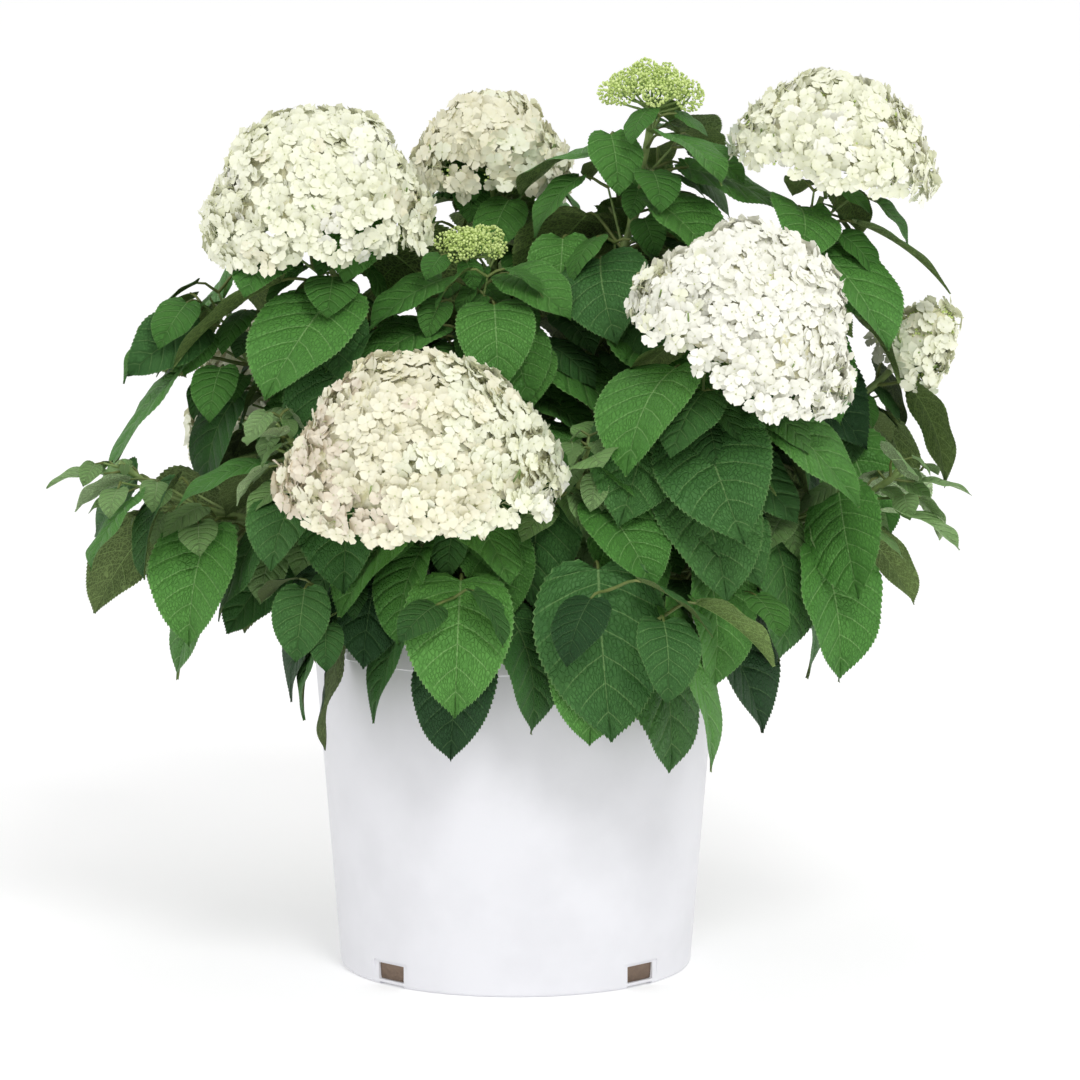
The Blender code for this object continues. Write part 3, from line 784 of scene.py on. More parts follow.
def headFrame(shoot, path):
    head = heads[shoot.name]
    tilt = math.radians(head.tilt)
    axis = polar(head.toward, math.sin(tilt), math.cos(tilt))
    turn = axis.to_track_quat("Z", "Y").to_matrix().to_4x4()
    return Matrix.Translation(path.at(1.0)) @ turn


def dome(shoot, path, fineness, inset=0.0, skirt=1.0):
    # the lumpy dome of a head, with how high each of its faces was on the unit sphere
    head = heads[shoot.name]
    shape = sphere(fineness)
    rises = [face.calc_center_median().z for face in shape.faces]
    radius, tall = head.radius - inset, head.height - inset
    for vert in shape.verts:
        wide = radius * (1 - growth["headSlope"] * math.sin(math.pi * max(0.0, vert.co.z)))
        height = tall * vert.co.z
        if vert.co.z < -0.001:
            rim = vert.co.xy.length ** 2
            height = tall * growth["headHollow"] * (1 - rim) - head.skirt * skirt * rim
        place = Vector((vert.co.x * wide, vert.co.y * wide, height))
        lump = noise.noise(place / growth["headLumpSize"] + Vector((0, 0, shoots.index(shoot))))
        vert.co = place * (1 + growth["headLumps"] * lump)
    shape.transform(headFrame(shoot, path))
    return *partsOf(shape), rises


paths = {shoot.name: Path(shoot) for shoot in shoots}
headShoots = [shoot for shoot in shoots if shoot.name in heads]


def stemSpace(shoot, path):
    # the square tube that a leafy stem keeps
    start = shoot.bare + growth["gap"] / path.length
    places = [start, *(t for _, t in pairPlaces(shoot, path)), 1.0]
    stations = [(path.at(t), path.girth(t)) for t in places]
    if shoot.name in heads:
        inside = Vector((0.0, 0.0, heads[shoot.name].height * growth["stemInHead"]))
        stations.append((headFrame(shoot, path) @ inside, growth["caneRadius"][1]))
    curve = bpy.data.curves.new("stem", "CURVE")
    curve.dimensions = "3D"
    curve.bevel_depth = 1.0
    curve.bevel_resolution = 0
    curve.use_fill_caps = True
    line = curve.splines.new("POLY")
    line.points.add(len(stations) - 1)
    for point, (place, radius) in zip(line.points, stations):
        point.co = (*place, 1.0)
        point.radius = radius
    tube = shown("stem", curve)
    bpy.context.view_layer.update()
    tree = treeOf(tube.evaluated_get(bpy.context.evaluated_depsgraph_get()).to_mesh())
    discard(tube)
    return tree


def startSpaces():
    # what leaves keep clear of: the pot, the canes, every stem and every head
    for name, node in frame["nodes"].items():
        if not name.startswith("mass_"):
            yield "limb", treeOf(node.data)
    for shoot in shoots:
        yield shoot.name, stemSpace(shoot, paths[shoot.name])
    for shoot in headShoots:
        fineness = 3 if heads[shoot.name].radius > growth["largeHead"] else 2
        verts, faces, _ = dome(shoot, paths[shoot.name], fineness)
        yield "head", BVHTree.FromPolygons(verts, faces)


# the small leaves that fill in between the large ones, on short twigs from their axils
twigs = {
    "length": (0.30, 0.55),     # share of the leaf it stands over
    "leaf": (0.42, 0.66),
    "places": ((0.55, 0.8), (1.0, 1.0)),    # how far up it a pair stands, and its size
    "swing": 0.5,
    "droop": (30, 75),
    "roll": 0.4,
    "shrink": 0.03,
    "clearance": 0.0006,
    "tries": 10,
    "girth": 0.0009,
    "seed": 7,
}

# how light a leaf is: it rises along the shoot and with the leaf's own luck, and leaves high on
# the plant are made lighter as painted light from above
tones = {"luck": 0.75, "rise": 0.45, "paintedTopLight": 0.30, "paintedTopLightHeight": 0.44,
         "steps": (0.27, 0.64), "fringe": 0.14, "youngLength": 0.058}


def leafTone(shoot, share, leaf, dice):
    if shoot.name not in heads and shoot.lift > 0.5 and leaf.length < tones["youngLength"]:
        return "Young"
    score = tones["rise"] * share + tones["luck"] * dice.random()
    score -= tones["fringe"] * (shoot.bare > 0.5)
    # painted light: leaves high on the plant get a lighter tone for the light that falls on top
    score += tones["paintedTopLight"] * (leaf.base.z > tones["paintedTopLightHeight"])
    low, high = tones["steps"]
    return "Deep" if score < low else "Mid" if score < high else "Bright"


def clear(leaf, owner, blocked, margin):
    whole = leaf.space(margin)
    past = leaf.space(margin, growth["petioleInStem"])
    for name, tree in blocked:
        if (past if name == owner else whole).overlap(tree):
            return None
    return whole


def growLeaves():
    # every leaf as (tone, leaf), and every twig as a line of (place, radius)
    blocked = list(startSpaces())
    leaves, lines, parents = [], [], []

    def held(leaf, shoot, share, dice, margin):
        space = clear(leaf, shoot.name, blocked, margin)
        if space:
            blocked.append((shoot.name, space))
            leaves.append((leafTone(shoot, share, leaf, dice), leaf))
        return space

    for shoot in shoots:
        for share, ways in heldLeaves(shoot, paths[shoot.name]):
            dice = random.Random(f"{twigs['seed']} {shoot.name} {share} {len(leaves)}")
            for leaf in ways:
                if held(leaf, shoot, share, dice, growth["clearance"]):
                    break
            parents.append((shoot, share, leaf))
    print(len(leaves), "large leaves")
    for shoot, share, parent in parents:
        dice = random.Random(f"{twigs['seed']} {shoot.name} {share} {parent.length}")
        aim = (parent.along + parent.petiole).normalized()
        tip = parent.root + aim * (parent.length * dice.uniform(*twigs["length"]))
        before = len(leaves)
        around = aim.cross(parent.side).normalized()
        for (place, size), half in itertools.product(twigs["places"], (1, -1)):
            base = parent.root.lerp(tip, place)
            side = (around if place < 1 else parent.side) * half
            for step in range(twigs["tries"]):
                turn = dice.uniform(-twigs["swing"], twigs["swing"]) * (1 + step / 3)
                length = parent.length * size * dice.uniform(*twigs["leaf"])
                length *= 1 - twigs["shrink"] * step
                hang = math.radians(dice.uniform(*twigs["droop"]))
                roll = dice.uniform(-twigs["roll"], twigs["roll"])
                leaf = Leaf(base, aim, Matrix.Rotation(turn, 3, aim) @ side, length, hang, roll)
                if held(leaf, shoot, share, dice, twigs["clearance"]):
                    break
        if len(leaves) > before:
            lines.append([(parent.root.lerp(tip, s / 4), twigs["girth"] * (1.3 - s / 8))
                          for s in range(5)])
    print(len(leaves), "leaves in all")
    return leaves, lines


# a leaf one unit long: half of its outline from the notch at the petiole to the tip
blade = {
    "outline": ((0.006, 0.0), (0.070, -0.036), (0.160, -0.048), (0.255, -0.010),
                (0.330, 0.080), (0.375, 0.190), (0.396, 0.310), (0.390, 0.430),
                (0.357, 0.555), (0.298, 0.675), (0.220, 0.785), (0.138, 0.872),
                (0.070, 0.928), (0.028, 0.966), (0.0, 1.0)),
    "veins": 8,                 # the spaces between side veins, each with rows in it
    "fanned": 0.14,             # the share of the rows that start where the petiole joins
    "large": (16, (0.0, 0.34, 0.70, 1.0), 2),   # rows, columns and teeth in a row
    "small": (8, (0.0, 0.55, 1.0), 3),
    "smallLength": 0.062,       # leaves shorter than this are the small kind
    "puff": 0.017,              # how far the blade swells between veins
    "tooth": 0.014,
    "toothTip": 0.72,           # how far along a tooth its tip stands
    "heart": 0.35,              # how far up the middle is, from which teeth point outward
    "rowEase": 0.66,            # rows crowd towards the tip along the edge,
    "midribEase": 1.22,         # and towards the foot along the midrib
    "veinBow": (0.56, 0.34),    # how side veins bend on the way to the edge
    "groove": 0.004,            # the midrib's
    "ripples": 14,
    "thickness": 0.0060,
    "weld": 0.0006,
    "kinds": 8,
    "smallKinds": 4,
    "fold": (4, 22),            # ranges from which each kind draws its form
    "arch": (0.20, 0.70),
    "waves": (0.006, 0.022),
    "curl": (-8, 26),
    "hook": (-0.07, 0.07),
    "width": (0.95, 1.05),
}


def smoothLine(points):
    # a Catmull-Rom line through points, as a function of the share of its length
    points = [np.array(point) for point in points]
    points = [2 * points[0] - points[1], *points, 2 * points[-1] - points[-2]]
    fine = []
    for a, b, c, d in zip(points, points[1:], points[2:], points[3:]):
        for t in np.linspace(0, 1, 12, endpoint=False):
            fine.append(0.5 * (2 * b + (c - a) * t + (2 * a - 5 * b + 4 * c - d) * t ** 2
                               + (3 * b - a - 3 * c + d) * t ** 3))
    fine = np.array([*fine, points[-2]])
    steps = np.linalg.norm(np.diff(fine, axis=0), axis=1)
    run = np.concatenate([[0], np.cumsum(steps)]) / steps.sum()
    return lambda share: [float(np.interp(share, run, fine[:, axis])) for axis in (0, 1)]


leafEdge = smoothLine(blade["outline"])


class BladeForm:
    # how one kind of leaf is folded, arched, waved and curled
    def __init__(self, dice):
        self.fold = math.tan(math.radians(dice.uniform(*blade["fold"])))
        self.arch = dice.uniform(*blade["arch"])
        self.waves = dice.uniform(*blade["waves"])
        self.phase = dice.uniform(0, 6.28)
        self.curl = growth["bladeCurl"] + math.radians(dice.uniform(*blade["curl"]))
        self.hook = dice.uniform(*blade["hook"])
        self.width = dice.uniform(*blade["width"])

    def edgePoint(self, row):
        # side veins run forward, so a row meets the edge further on than it starts
        return leafEdge(row ** blade["rowEase"])

    def place(self, across, row, sign, out=0.0):
        # a point of the upper face: across from the midrib to the edge, row along it
        ex, ey = self.edgePoint(row)
        if out:
            heart = blade["heart"]
            reach = math.hypot(ex, ey - heart)
            ex, ey = ex * (1 + out / reach), heart + (ey - heart) * (1 + out / reach)
        my = max(0.0, (row - blade["fanned"]) / (1 - blade["fanned"])) ** blade["midribEase"]
        bowX, bowY = blade["veinBow"]
        bx, by = ex * bowX, my + (ey - my) * bowY
        x = 2 * across * (1 - across) * bx + across * across * ex
        y = (1 - across) ** 2 * my + 2 * across * (1 - across) * by + across * across * ey
        swell = abs(math.sin(math.pi * row * blade["veins"])) ** 0.8
        swell *= math.sin(math.pi * across ** 0.8) if 0 < across < 1 else 0.0
        z = blade["puff"] * swell * (1 - 0.4 * row) - blade["groove"] * (across == 0)
        z += x * self.fold - self.arch * x * x
        z += self.waves * math.sin(blade["ripples"] * y + self.phase + sign) * across ** 2
        x = sign * x * self.width + self.hook * y * y
        rise = -self.curl * (y / 2 - 0.5)       # mean slope from the petiole to here
        lean = -self.curl * (y - 0.5)
        return Vector((x, y * math.cos(rise) - z * math.sin(lean),
                       y * math.sin(rise) + z * math.cos(lean)))


def makeBlade(name, dice, detail, collection):
    # a closed leaf, thin to its toothed edge, with an underside marked as such
    rows, columns, teeth = detail
    form = BladeForm(dice)
    verts, spots, grid = [], [], {}

    def add(key, across, row, sign, out=0.0):
        grid[key] = len(verts)
        verts.append(form.place(across, row, sign, out))
        spots.append((0.5 + 0.5 * sign * across, row))

    last = len(columns) - 1
    for sign in (1, -1):
        for row in range(rows + 1):
            for column, across in enumerate(columns):
                add((sign, row, column), across, row / rows, sign)
            for tooth in range(teeth if row < rows else 0):
                step = 1 / (rows * teeth)
                start = row / rows + tooth * step
                tip = start + blade["toothTip"] * step
                add((sign, row, "tip", tooth), 1.0, tip, sign, blade["tooth"])
                if tooth < teeth - 1:
                    add((sign, row, "gap", tooth), 1.0, start + step, sign)
    count = len(verts)
    edges = {grid[key] for key in grid if key[2] in ("tip", "gap", last)}
    drop = Vector((0.0, 0.0, blade["thickness"]))
    verts += [vert - drop * (index not in edges) for index, vert in enumerate(verts)]
    spots += spots
    faces = []
    for sign in (1, -1):
        for row in range(rows):
            for column in range(last):
                a, b = grid[sign, row, column], grid[sign, row, column + 1]
                c, d = grid[sign, row + 1, column + 1], grid[sign, row + 1, column]
                patch = [(a, b, c), (a, c, d)]
                if column == last - 1:
                    chain = [b]
                    for tooth in range(teeth):
                        chain.append(grid[sign, row, "tip", tooth])
                        chain.append(grid.get((sign, row, "gap", tooth), c))
                    patch = [(a, chain[teeth], d)]
                    for step, (e, f) in enumerate(zip(chain, chain[1:])):
                        patch.append((a if step < teeth else d, e, f))
                faces += [face[::sign] for face in patch]
    upper = len(faces)
    faces += [[count + index for index in reversed(face)] for face in faces]
    mesh = newMesh(name, verts, faces)
    corners = np.empty(len(mesh.loops), dtype=np.int32)
    mesh.loops.foreach_get("vertex_index", corners)
    mesh.uv_layers.new(name="UVMap").data.foreach_set("uv", np.array(spots)[corners].ravel())
    store(mesh, "under", "BOOLEAN", "FACE", [index >= upper for index in range(len(faces))])
    shape = bmesh.new()
    shape.from_mesh(mesh)
    bmesh.ops.remove_doubles(shape, verts=shape.verts, dist=blade["weld"])
    shape.to_mesh(mesh)
    shape.free()
    mesh.shade_smooth()
    mesh.set_sharp_from_angle(angle=math.radians(80))
    collection.objects.link(bpy.data.objects.new(name, mesh))


# what each tone of leaf looks like: dark and light of the upper face, veins, underside
leafLooks = {
    "Deep": ((0.017, 0.056, 0.018), (0.034, 0.102, 0.031), (0.095, 0.185, 0.066),
             (0.090, 0.128, 0.045)),
    "Mid": ((0.042, 0.134, 0.032), (0.078, 0.210, 0.051), (0.190, 0.330, 0.115),
            (0.125, 0.180, 0.060)),
    "Bright": ((0.070, 0.220, 0.038), (0.112, 0.305, 0.060), (0.260, 0.460, 0.160),
               (0.175, 0.255, 0.080)),
    "Young": ((0.200, 0.400, 0.110), (0.330, 0.530, 0.210), (0.500, 0.640, 0.340),
              (0.390, 0.520, 0.280)),
}


# a leaf's surface: across runs from the midrib to the edge, and cells are the fine net, whose
# grooves carry painted shade on the upper face
surface = {
    "sideVein": (0.008, 0.040),     # where a vein begins to fade and where it has faded
    "midrib": (0.008, 0.026),
    "sideShare": 0.75,
    "cells": (13.0, 3.8),           # across the half blade, and between two side veins
    "cellEdge": 0.16,
    "rim": (0.965, 1.0, 0.0, 0.5),
    "mottle": 0.020,
    "netGroovePaintedShade": 0.24,
    "veinShade": 0.75,
    "underVeins": 2.3,              # how much lighter they are than the underside
    "underDark": 0.62,
    "depth": 0.0015,
    "underDepth": 0.0010,
}


def leafPaint(name, dark, light, vein, under):
    # veins follow the blade's own map: 0 to 1 from edge to edge, and along the rows
    paint = Paint(name, Specular_IOR_Level=0.18)
    spot = paint.add("ShaderNodeSeparateXYZ", None, {
        0: paint.add("ShaderNodeUVMap", {"uv_map": "UVMap"})}, "X")
    rows = Wire(paint, spot.socket.node.outputs["Y"]) * float(blade["veins"])
    across = paint.add("ShaderNodeMath", {"operation": "ABSOLUTE"}, {0: spot * 2.0 - 1.0})
    off = paint.add("ShaderNodeMath", {"operation": "PINGPONG"}, {0: rows, 1: 0.5})
    side = paint.between(off, *surface["sideVein"], 1.0, 0.0)
    side = side * paint.between(across, 0.6, 1.0, 1.0, 0.2)
    middle = paint.between(across, *surface["midrib"], 1.0, 0.0)
    veins = paint.larger(side * surface["sideShare"], middle)
    valley = paint.between(off, 0.0, 0.24) * paint.between(across, 0.0, 0.12, 0.3, 1.0)
    wide, tall = surface["cells"]
    spread = paint.add("ShaderNodeCombineXYZ", None, {
        0: across * wide, 1: rows * tall, 2: 7.0 * (spot > 0.5)})
    cells = paint.add("ShaderNodeTexVoronoi", {"feature": "DISTANCE_TO_EDGE"}, {
        "Vector": spread, "Scale": 1.0}, "Distance")
    pillow = paint.between(cells, 0.0, surface["cellEdge"])
    mottle = paint.cloud(surface["mottle"], 4.0)
    luck = paint.add("ShaderNodeAttribute", {"attribute_name": "luck"}, None, "Fac")
    ground = paint.blend(luck * 0.6 + 1.1 * mottle - 0.35, dark, light)
    edge = paint.between(across, *surface["rim"])
    if under:
        ground = paint.blend(0.5 * (1.0 - pillow), ground, vein)
        colour = paint.blend(paint.larger(veins * 0.9, edge), ground, vein)
        height = veins + 0.35 * (1.0 - pillow) - 0.3 * valley
        return paint.finish(colour, 0.72 + 0.1 * mottle, height, surface["underDepth"], 0.7)
    # painted shade: the upper face darkens in the grooves between the cells of the net
    paintedGrooveShade = surface["netGroovePaintedShade"] * (1.0 - pillow)
    ground = paint.blend(paintedGrooveShade, ground, tuple(0.60 * c for c in dark))
    colour = paint.blend(paint.larger(veins * surface["veinShade"], edge), ground, vein)
    height = valley * 0.8 + pillow * 0.34 + 0.06 * paint.cloud(0.0022, 2.0)
    return paint.finish(colour, 0.46 + 0.16 * mottle, height, surface["depth"], 1.0)


def makeLeaves(leaves):
    kinds = bpy.data.collections.new("blades")
    for detail, count in (("large", blade["kinds"]), ("small", blade["smallKinds"])):
        for kind in range(count):
            dice = random.Random(f"{detail} {kind}")
            makeBlade(f"{detail}{kind}", dice, blade[detail], kinds)
    plan = Plan("leavesOnPlaces", Blades="collection", Upper="material", Under="material")
    placed = plan.setOut(
        plan.given("Geometry"), "Blades", Instance_Index=plan.stored("kind", "INT"),
        Rotation=plan.stored("turn", "FLOAT_VECTOR"), Scale=plan.stored("size"))
    plan.end(placed, (plan.given("Upper"), None),
             (plan.given("Under"), plan.stored("under", "BOOLEAN")))
    for tone, (dark, light, vein, under) in leafLooks.items():
        chosen = [leaf for name, leaf in leaves if name == tone]
        dice = random.Random(f"tone {tone}")
        shapes = [blade["kinds"] + dice.randrange(blade["smallKinds"])
                  if leaf.length < blade["smallLength"] else dice.randrange(blade["kinds"])
                  for leaf in chosen]
        places = newMesh("places" + tone, [leaf.base for leaf in chosen], [])
        store(places, "turn", "FLOAT_VECTOR", "POINT", [leaf.turn() for leaf in chosen])
        store(places, "size", "FLOAT", "POINT", [leaf.length for leaf in chosen])
        store(places, "kind", "INT", "POINT", shapes)
        store(places, "luck", "FLOAT", "POINT", [dice.random() for _ in chosen])
        upper = leafPaint(f"leaf{tone}", dark, light, vein, False)
        lower, pale = (tuple(surface[share] * c for c in under)
                       for share in ("underDark", "underVeins"))
        below = leafPaint(f"leaf{tone}Under", lower, under, pale, True)
        piece = plan.grow(f"leaves{tone}", places, Blades=kinds, Upper=upper, Under=below)
        settle(piece, massNodes)
    discard(*kinds.objects)


# stems, petioles and the rays under the flower heads
stems = {
    "nodeSwell": 0.35,          # how much a shoot thickens where a pair of leaves stands
    "nodeLength": 0.004,
    "rays": 7,
    "rayRadius": 0.0011,
    "rayFoot": 0.42,            # how far under a head its rays part, in half widths
    "raySpread": 0.72,
    "caneSwell": 1.1,
    "overlap": (-0.03, 0.02),   # shares of a path: into the foot, and of cane and green part
    "petiole": (0.75, 4.0),     # its girth: a part of its own and one that grows with the leaf
    "taper": (1.15, 0.8),
    "rayTaper": (1.25, 0.8),
    "budRay": (0.0010, 0.0006),
    "rayTip": 0.16,             # how high in the head it ends, as its fork does
    "fork": (0.0008, 0.0006),
    "forkTip": 0.20,
    "forkFoot": 0.35,
    "forkTurn": 22,
    "forkReach": 0.14,
    # dark, light and flecks
    "canes": ((0.095, 0.070, 0.034), (0.180, 0.150, 0.070), (0.30, 0.24, 0.15)),
    "shoots": ((0.150, 0.240, 0.065), (0.290, 0.400, 0.130), (0.26, 0.28, 0.11)),
    "stalks": ((0.095, 0.150, 0.030), (0.190, 0.230, 0.065), (0.25, 0.20, 0.09)),
    "cloud": 0.010,
    "fibre": 0.0012,
    "fibreStretch": 0.12,
    "flecks": (0.62, 0.75),
    "bump": (0.0004, 0.6),
}


def stemPaint(name, dark, light, fleck):
    paint = Paint(name)
    cloud = paint.cloud(stems["cloud"], 4.0)
    stretched = paint.add("ShaderNodeMapping", None, {
        "Vector": paint.places(stems["fibre"]), "Scale": (1.0, 1.0, stems["fibreStretch"])})
    fibre = paint.noise(1.0, 3.0, Vector=stretched)
    colour = paint.blend(paint.between(cloud, 0.3, 0.7), dark, light)
    colour = paint.blend(paint.between(fibre, *stems["flecks"]) * 0.5, colour, fleck)
    return paint.finish(colour, 0.5 + 0.2 * cloud, fibre + cloud, *stems["bump"])


def limbPlan():
    # lines of vertices with a girth become tubes whose surface swells and sinks
    plan = Plan("limbsOnLines", Sides=int, Spacing=float, Relief=float, Grain=float,
                Material="material")
    curve = plan.add("GeometryNodeMeshToCurve", None, {0: plan.given("Geometry")})
    curve = plan.add("GeometryNodeResampleCurve", {"mode": "LENGTH"}, {
        "Curve": curve, "Length": plan.given("Spacing")})
    ring = plan.add("GeometryNodeCurvePrimitiveCircle", None, {
        "Resolution": plan.given("Sides"), "Radius": 1.0})
    tube = plan.add("GeometryNodeCurveToMesh", None, {
        "Curve": curve, "Profile Curve": ring, "Scale": plan.stored("girth"),
        "Fill Caps": True})
    push = (plan.noise(plan.given("Grain"), 3.0) - 0.5) * plan.given("Relief")
    tube = plan.moved(tube, plan.times(plan.add("GeometryNodeInputNormal"), push))
    plan.end(plan.smooth(tube), (plan.given("Material"), None))
    return plan


def lineMesh(name, lines):
    verts, edges, girths = [], [], []
    for line in lines:
        start = len(verts)
        verts += [place for place, _ in line]
        girths += [girth for _, girth in line]
        edges += [(start + i, start + i + 1) for i in range(len(line) - 1)]
    mesh = newMesh(name, verts, [], edges)
    store(mesh, "girth", "FLOAT", "POINT", girths)
    return mesh


def bowed(start, leave, end, arrive, girths, count=7):
    # a line from start to end that sets out along leave and comes in along arrive
    reach = (end - start).length / 2.6
    points = (start, start + leave * reach, end - arrive * reach, end)
    for step in range(count):
        t = step / (count - 1)
        yield cubic(points, t), girths[0] + (girths[1] - girths[0]) * t


def shootLine(shoot, path, start, end):
    knots = [t for _, t in pairPlaces(shoot, path)]
    count = max(8, int(path.length * (end - start) / 0.004))
    for step in range(count + 1):
        t = start + (end - start) * step / count
        nearest = min(abs(t - knot) for knot in knots) * path.length
        swell = stems["nodeSwell"] * math.exp(-(nearest / stems["nodeLength"]) ** 2)
        yield path.at(t), path.girth(t) * (1 + swell)


def budClumps(shoot, path):
    # the middles and sizes of the clusters of buds in a head that has yet to open
    head = heads[shoot.name]
    place = headFrame(shoot, path)
    dice = random.Random(f"clumps {shoot.name}")
    for clump in range(buds["clumps"]):
        reach = math.sqrt((clump + 0.4) / buds["clumps"])
        height = head.height - head.radius * buds["inset"]
        height *= 1.0 - buds["slope"] * reach ** 2
        height += dice.uniform(*buds["uneven"])
        turn = buds["spiral"] * clump + dice.uniform(-buds["swing"], buds["swing"])
        middle = place @ polar(turn, head.radius * reach * buds["spread"], height)
        yield middle, head.radius * dice.uniform(*buds["clump"])


def headRays(shoot, path):
    # the branches that carry a flower head, from below its rim to its underside
    head = heads[shoot.name]
    place = headFrame(shoot, path)
    axis = place.to_3x3() @ upward
    back = path.at(1.0) - path.slope(1.0) * (head.radius * stems["rayFoot"])
    dice = random.Random(f"rays {shoot.name}")
    if head.buds == 1.0:
        for middle, _ in budClumps(shoot, path):
            start = back + path.slope(1.0) * dice.uniform(0.0, 0.3) * head.radius
            out = (middle - start).normalized()
            yield list(bowed(start, out, middle, (axis + out).normalized(), stems["budRay"]))
        return
    girths = [stems["rayRadius"] * share for share in stems["rayTaper"]]
    for ray in range(stems["rays"]):
        spread = stems["raySpread"] if ray else 0.0
        turn = 360 * ray / (stems["rays"] - 1) + dice.uniform(-14, 14)
        tip = place @ polar(turn, head.radius * spread, head.height * stems["rayTip"])
        out = (tip - back).normalized()
        start = back + path.slope(1.0) * dice.uniform(0.0, 0.10) * head.radius
        yield list(bowed(start, (axis * 0.7 + out).normalized(), tip,
                         (axis + out * 0.6).normalized(), girths))
        for side in (-1, 1):
            fork = tip.lerp(back, stems["forkFoot"])
            end = place @ polar(turn + stems["forkTurn"] * side,
                                head.radius * (spread + stems["forkReach"]),
                                head.height * stems["forkTip"])
            yield list(bowed(fork, out, end, axis, stems["fork"], 5))


def makeStems(leaves, twigLines):
    plan = limbPlan()
    canes, green, stalks = [], [], []
    under, over = stems["overlap"]
    for shoot in shoots:
        path = paths[shoot.name]
        canes.append([(place, girth * stems["caneSwell"]) for place, girth in
                      shootLine(shoot, path, under, shoot.bare + over)])
        end = 1.0
        if shoot.name in heads:
            end = 1.0 - heads[shoot.name].radius * stems["rayFoot"] / path.length
            green += list(headRays(shoot, path))
        green.append(list(shootLine(shoot, path, shoot.bare - over, end)))
    least, growing = stems["petiole"]
    for _, leaf in leaves:
        girth = growth["petioleRadius"] * (least + growing * leaf.length)
        stalks.append(list(bowed(leaf.root, leaf.petiole, leaf.base, leaf.direction(0.0),
                                 [girth * share for share in stems["taper"]])))
    bark = stemPaint("caneBark", *stems["canes"])
    fresh = stemPaint("greenStems", *stems["shoots"])
    stalk = stemPaint("leafStalks", *stems["stalks"])
    for name, lines, sides, spacing, relief, grain, material, nodes in (
            ("canes", canes, 14, 0.0025, 0.0014, 260.0, bark, caneNodes),
            ("greenShoots", green + twigLines, 8, 0.0045, 0.0004, 300.0, fresh, massNodes),
            ("leafStalks", stalks, 7, 0.005, 0.0002, 300.0, stalk, massNodes)):
        piece = plan.grow(name, lineMesh(name, lines), Sides=sides, Spacing=spacing,
                          Relief=relief, Grain=grain, Material=material)
        settle(piece, nodes)


# the woody foot from which the canes rise
foot = {
    "fineness": 5,
    "flare": 0.14,
    "lumps": 0.006,
    "lumpSize": 0.016,
    "ridges": 0.0016,
    "ridgeSize": (0.003, 0.003, 0.012),
    "colours": ((0.050, 0.034, 0.020), (0.200, 0.145, 0.085), (0.30, 0.24, 0.16)),
}


def makeFoot():
    low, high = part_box("root_crown")
    shape = sphere(foot["fineness"])
    middle = growth["soilHeight"] + growth["crownStem"]
    for vert in shape.verts:
        way = vert.co.copy()
        wide = growth["crownRadius"] * (1.0 + foot["flare"] * max(0.0, -way.z) ** 2)
        tall = high.z - middle if way.z > 0 else middle - low.z
        place = Vector((way.x * wide, way.y * wide, middle + way.z * tall))
        lump = foot["lumps"] * noise.noise(place / foot["lumpSize"])
        drawn = Vector(a / size for a, size in zip(place, foot["ridgeSize"]))
        ridge = foot["ridges"] * noise.noise(drawn)
        vert.co = place + Vector((way.x, way.y, 0.3 * way.z)) * (lump + ridge - 0.001)
    mesh = meshOf("woodyFoot", shape)
    mesh.shade_smooth()
    mesh.materials.append(stemPaint("footBark", *foot["colours"]))
    settle(shown(mesh.name, mesh), ["root_crown"])


# the flowers: each has four broad petals and is drawn one unit in radius
bloom = {
    "petalRows": ((0.05, 0.06), (0.44, 0.50), (0.84, 0.52), (1.0, 0.28)),   # reach, half width
    "columns": (-1.0, 0.0, 1.0),
    "turn": (-9, 9),            # ranges from which each petal draws its form
    "lift": (-0.15, 0.42),
    "cup": (-0.10, 0.40),
    "petal": (0.88, 1.08),
    "twist": (-0.20, 0.20),
    "overlap": 0.03,            # how far every other petal stands over the next
    "eye": (0.11, 0.05, 0.15),  # its radius, foot and top
    "stalkRadius": 0.07,
    "stalk": (0.04, -1.5),      # from the eye back into the head
    "kinds": 6,
    "size": 0.0066,             # half the width of one flower
    "sizes": (0.82, 1.15),      # share of that size
    "spacing": 0.0066,
    "layers": (0.0045, 0.0078), # how deep under the head's outline each layer sits
    "core": 0.0105,
    "aside": 0.50,              # how much more to the side than straight outward they face
    "rim": (0.1, 0.3),          # the rim: full from here under the middle, and how wide
    "hang": 0.005,              # how far flowers at the rim hang down at most
    "notch": 0.558,             # how ragged the rim is: flowers are missing above this
    "lobes": 34.0,              # scale of those gaps
    "patches": 22.0,            # scale of the patches of another tone
    "patchTone": 0.45,
    "toneLuck": 0.12,
    "density": 40000.0,
    "openFrom": 0.75,           # flowers leave out the clusters of buds above this
    "tilt": 0.55,
    "lowest": -0.16,            # flowers cover the dome down to here, on a unit sphere
    "stalkColours": ((0.52, 0.56, 0.30), (0.70, 0.73, 0.47)),
    "insideColours": ((0.76, 0.74, 0.46), (0.90, 0.88, 0.68)),
    "cloud": 0.006,
    "seed": 12,
}

# petal tones from white to beige: where each begins, shade and light
petalLooks = {
    "White": (-9.0, (0.89, 0.885, 0.785), (0.93, 0.93, 0.835)),
    "Cream": (0.26, (0.85, 0.86, 0.66), (0.89, 0.90, 0.74)),
    "Ivory": (0.54, (0.84, 0.81, 0.61), (0.88, 0.86, 0.69)),
    "Beige": (0.82, (0.74, 0.66, 0.52), (0.84, 0.78, 0.64)),
}


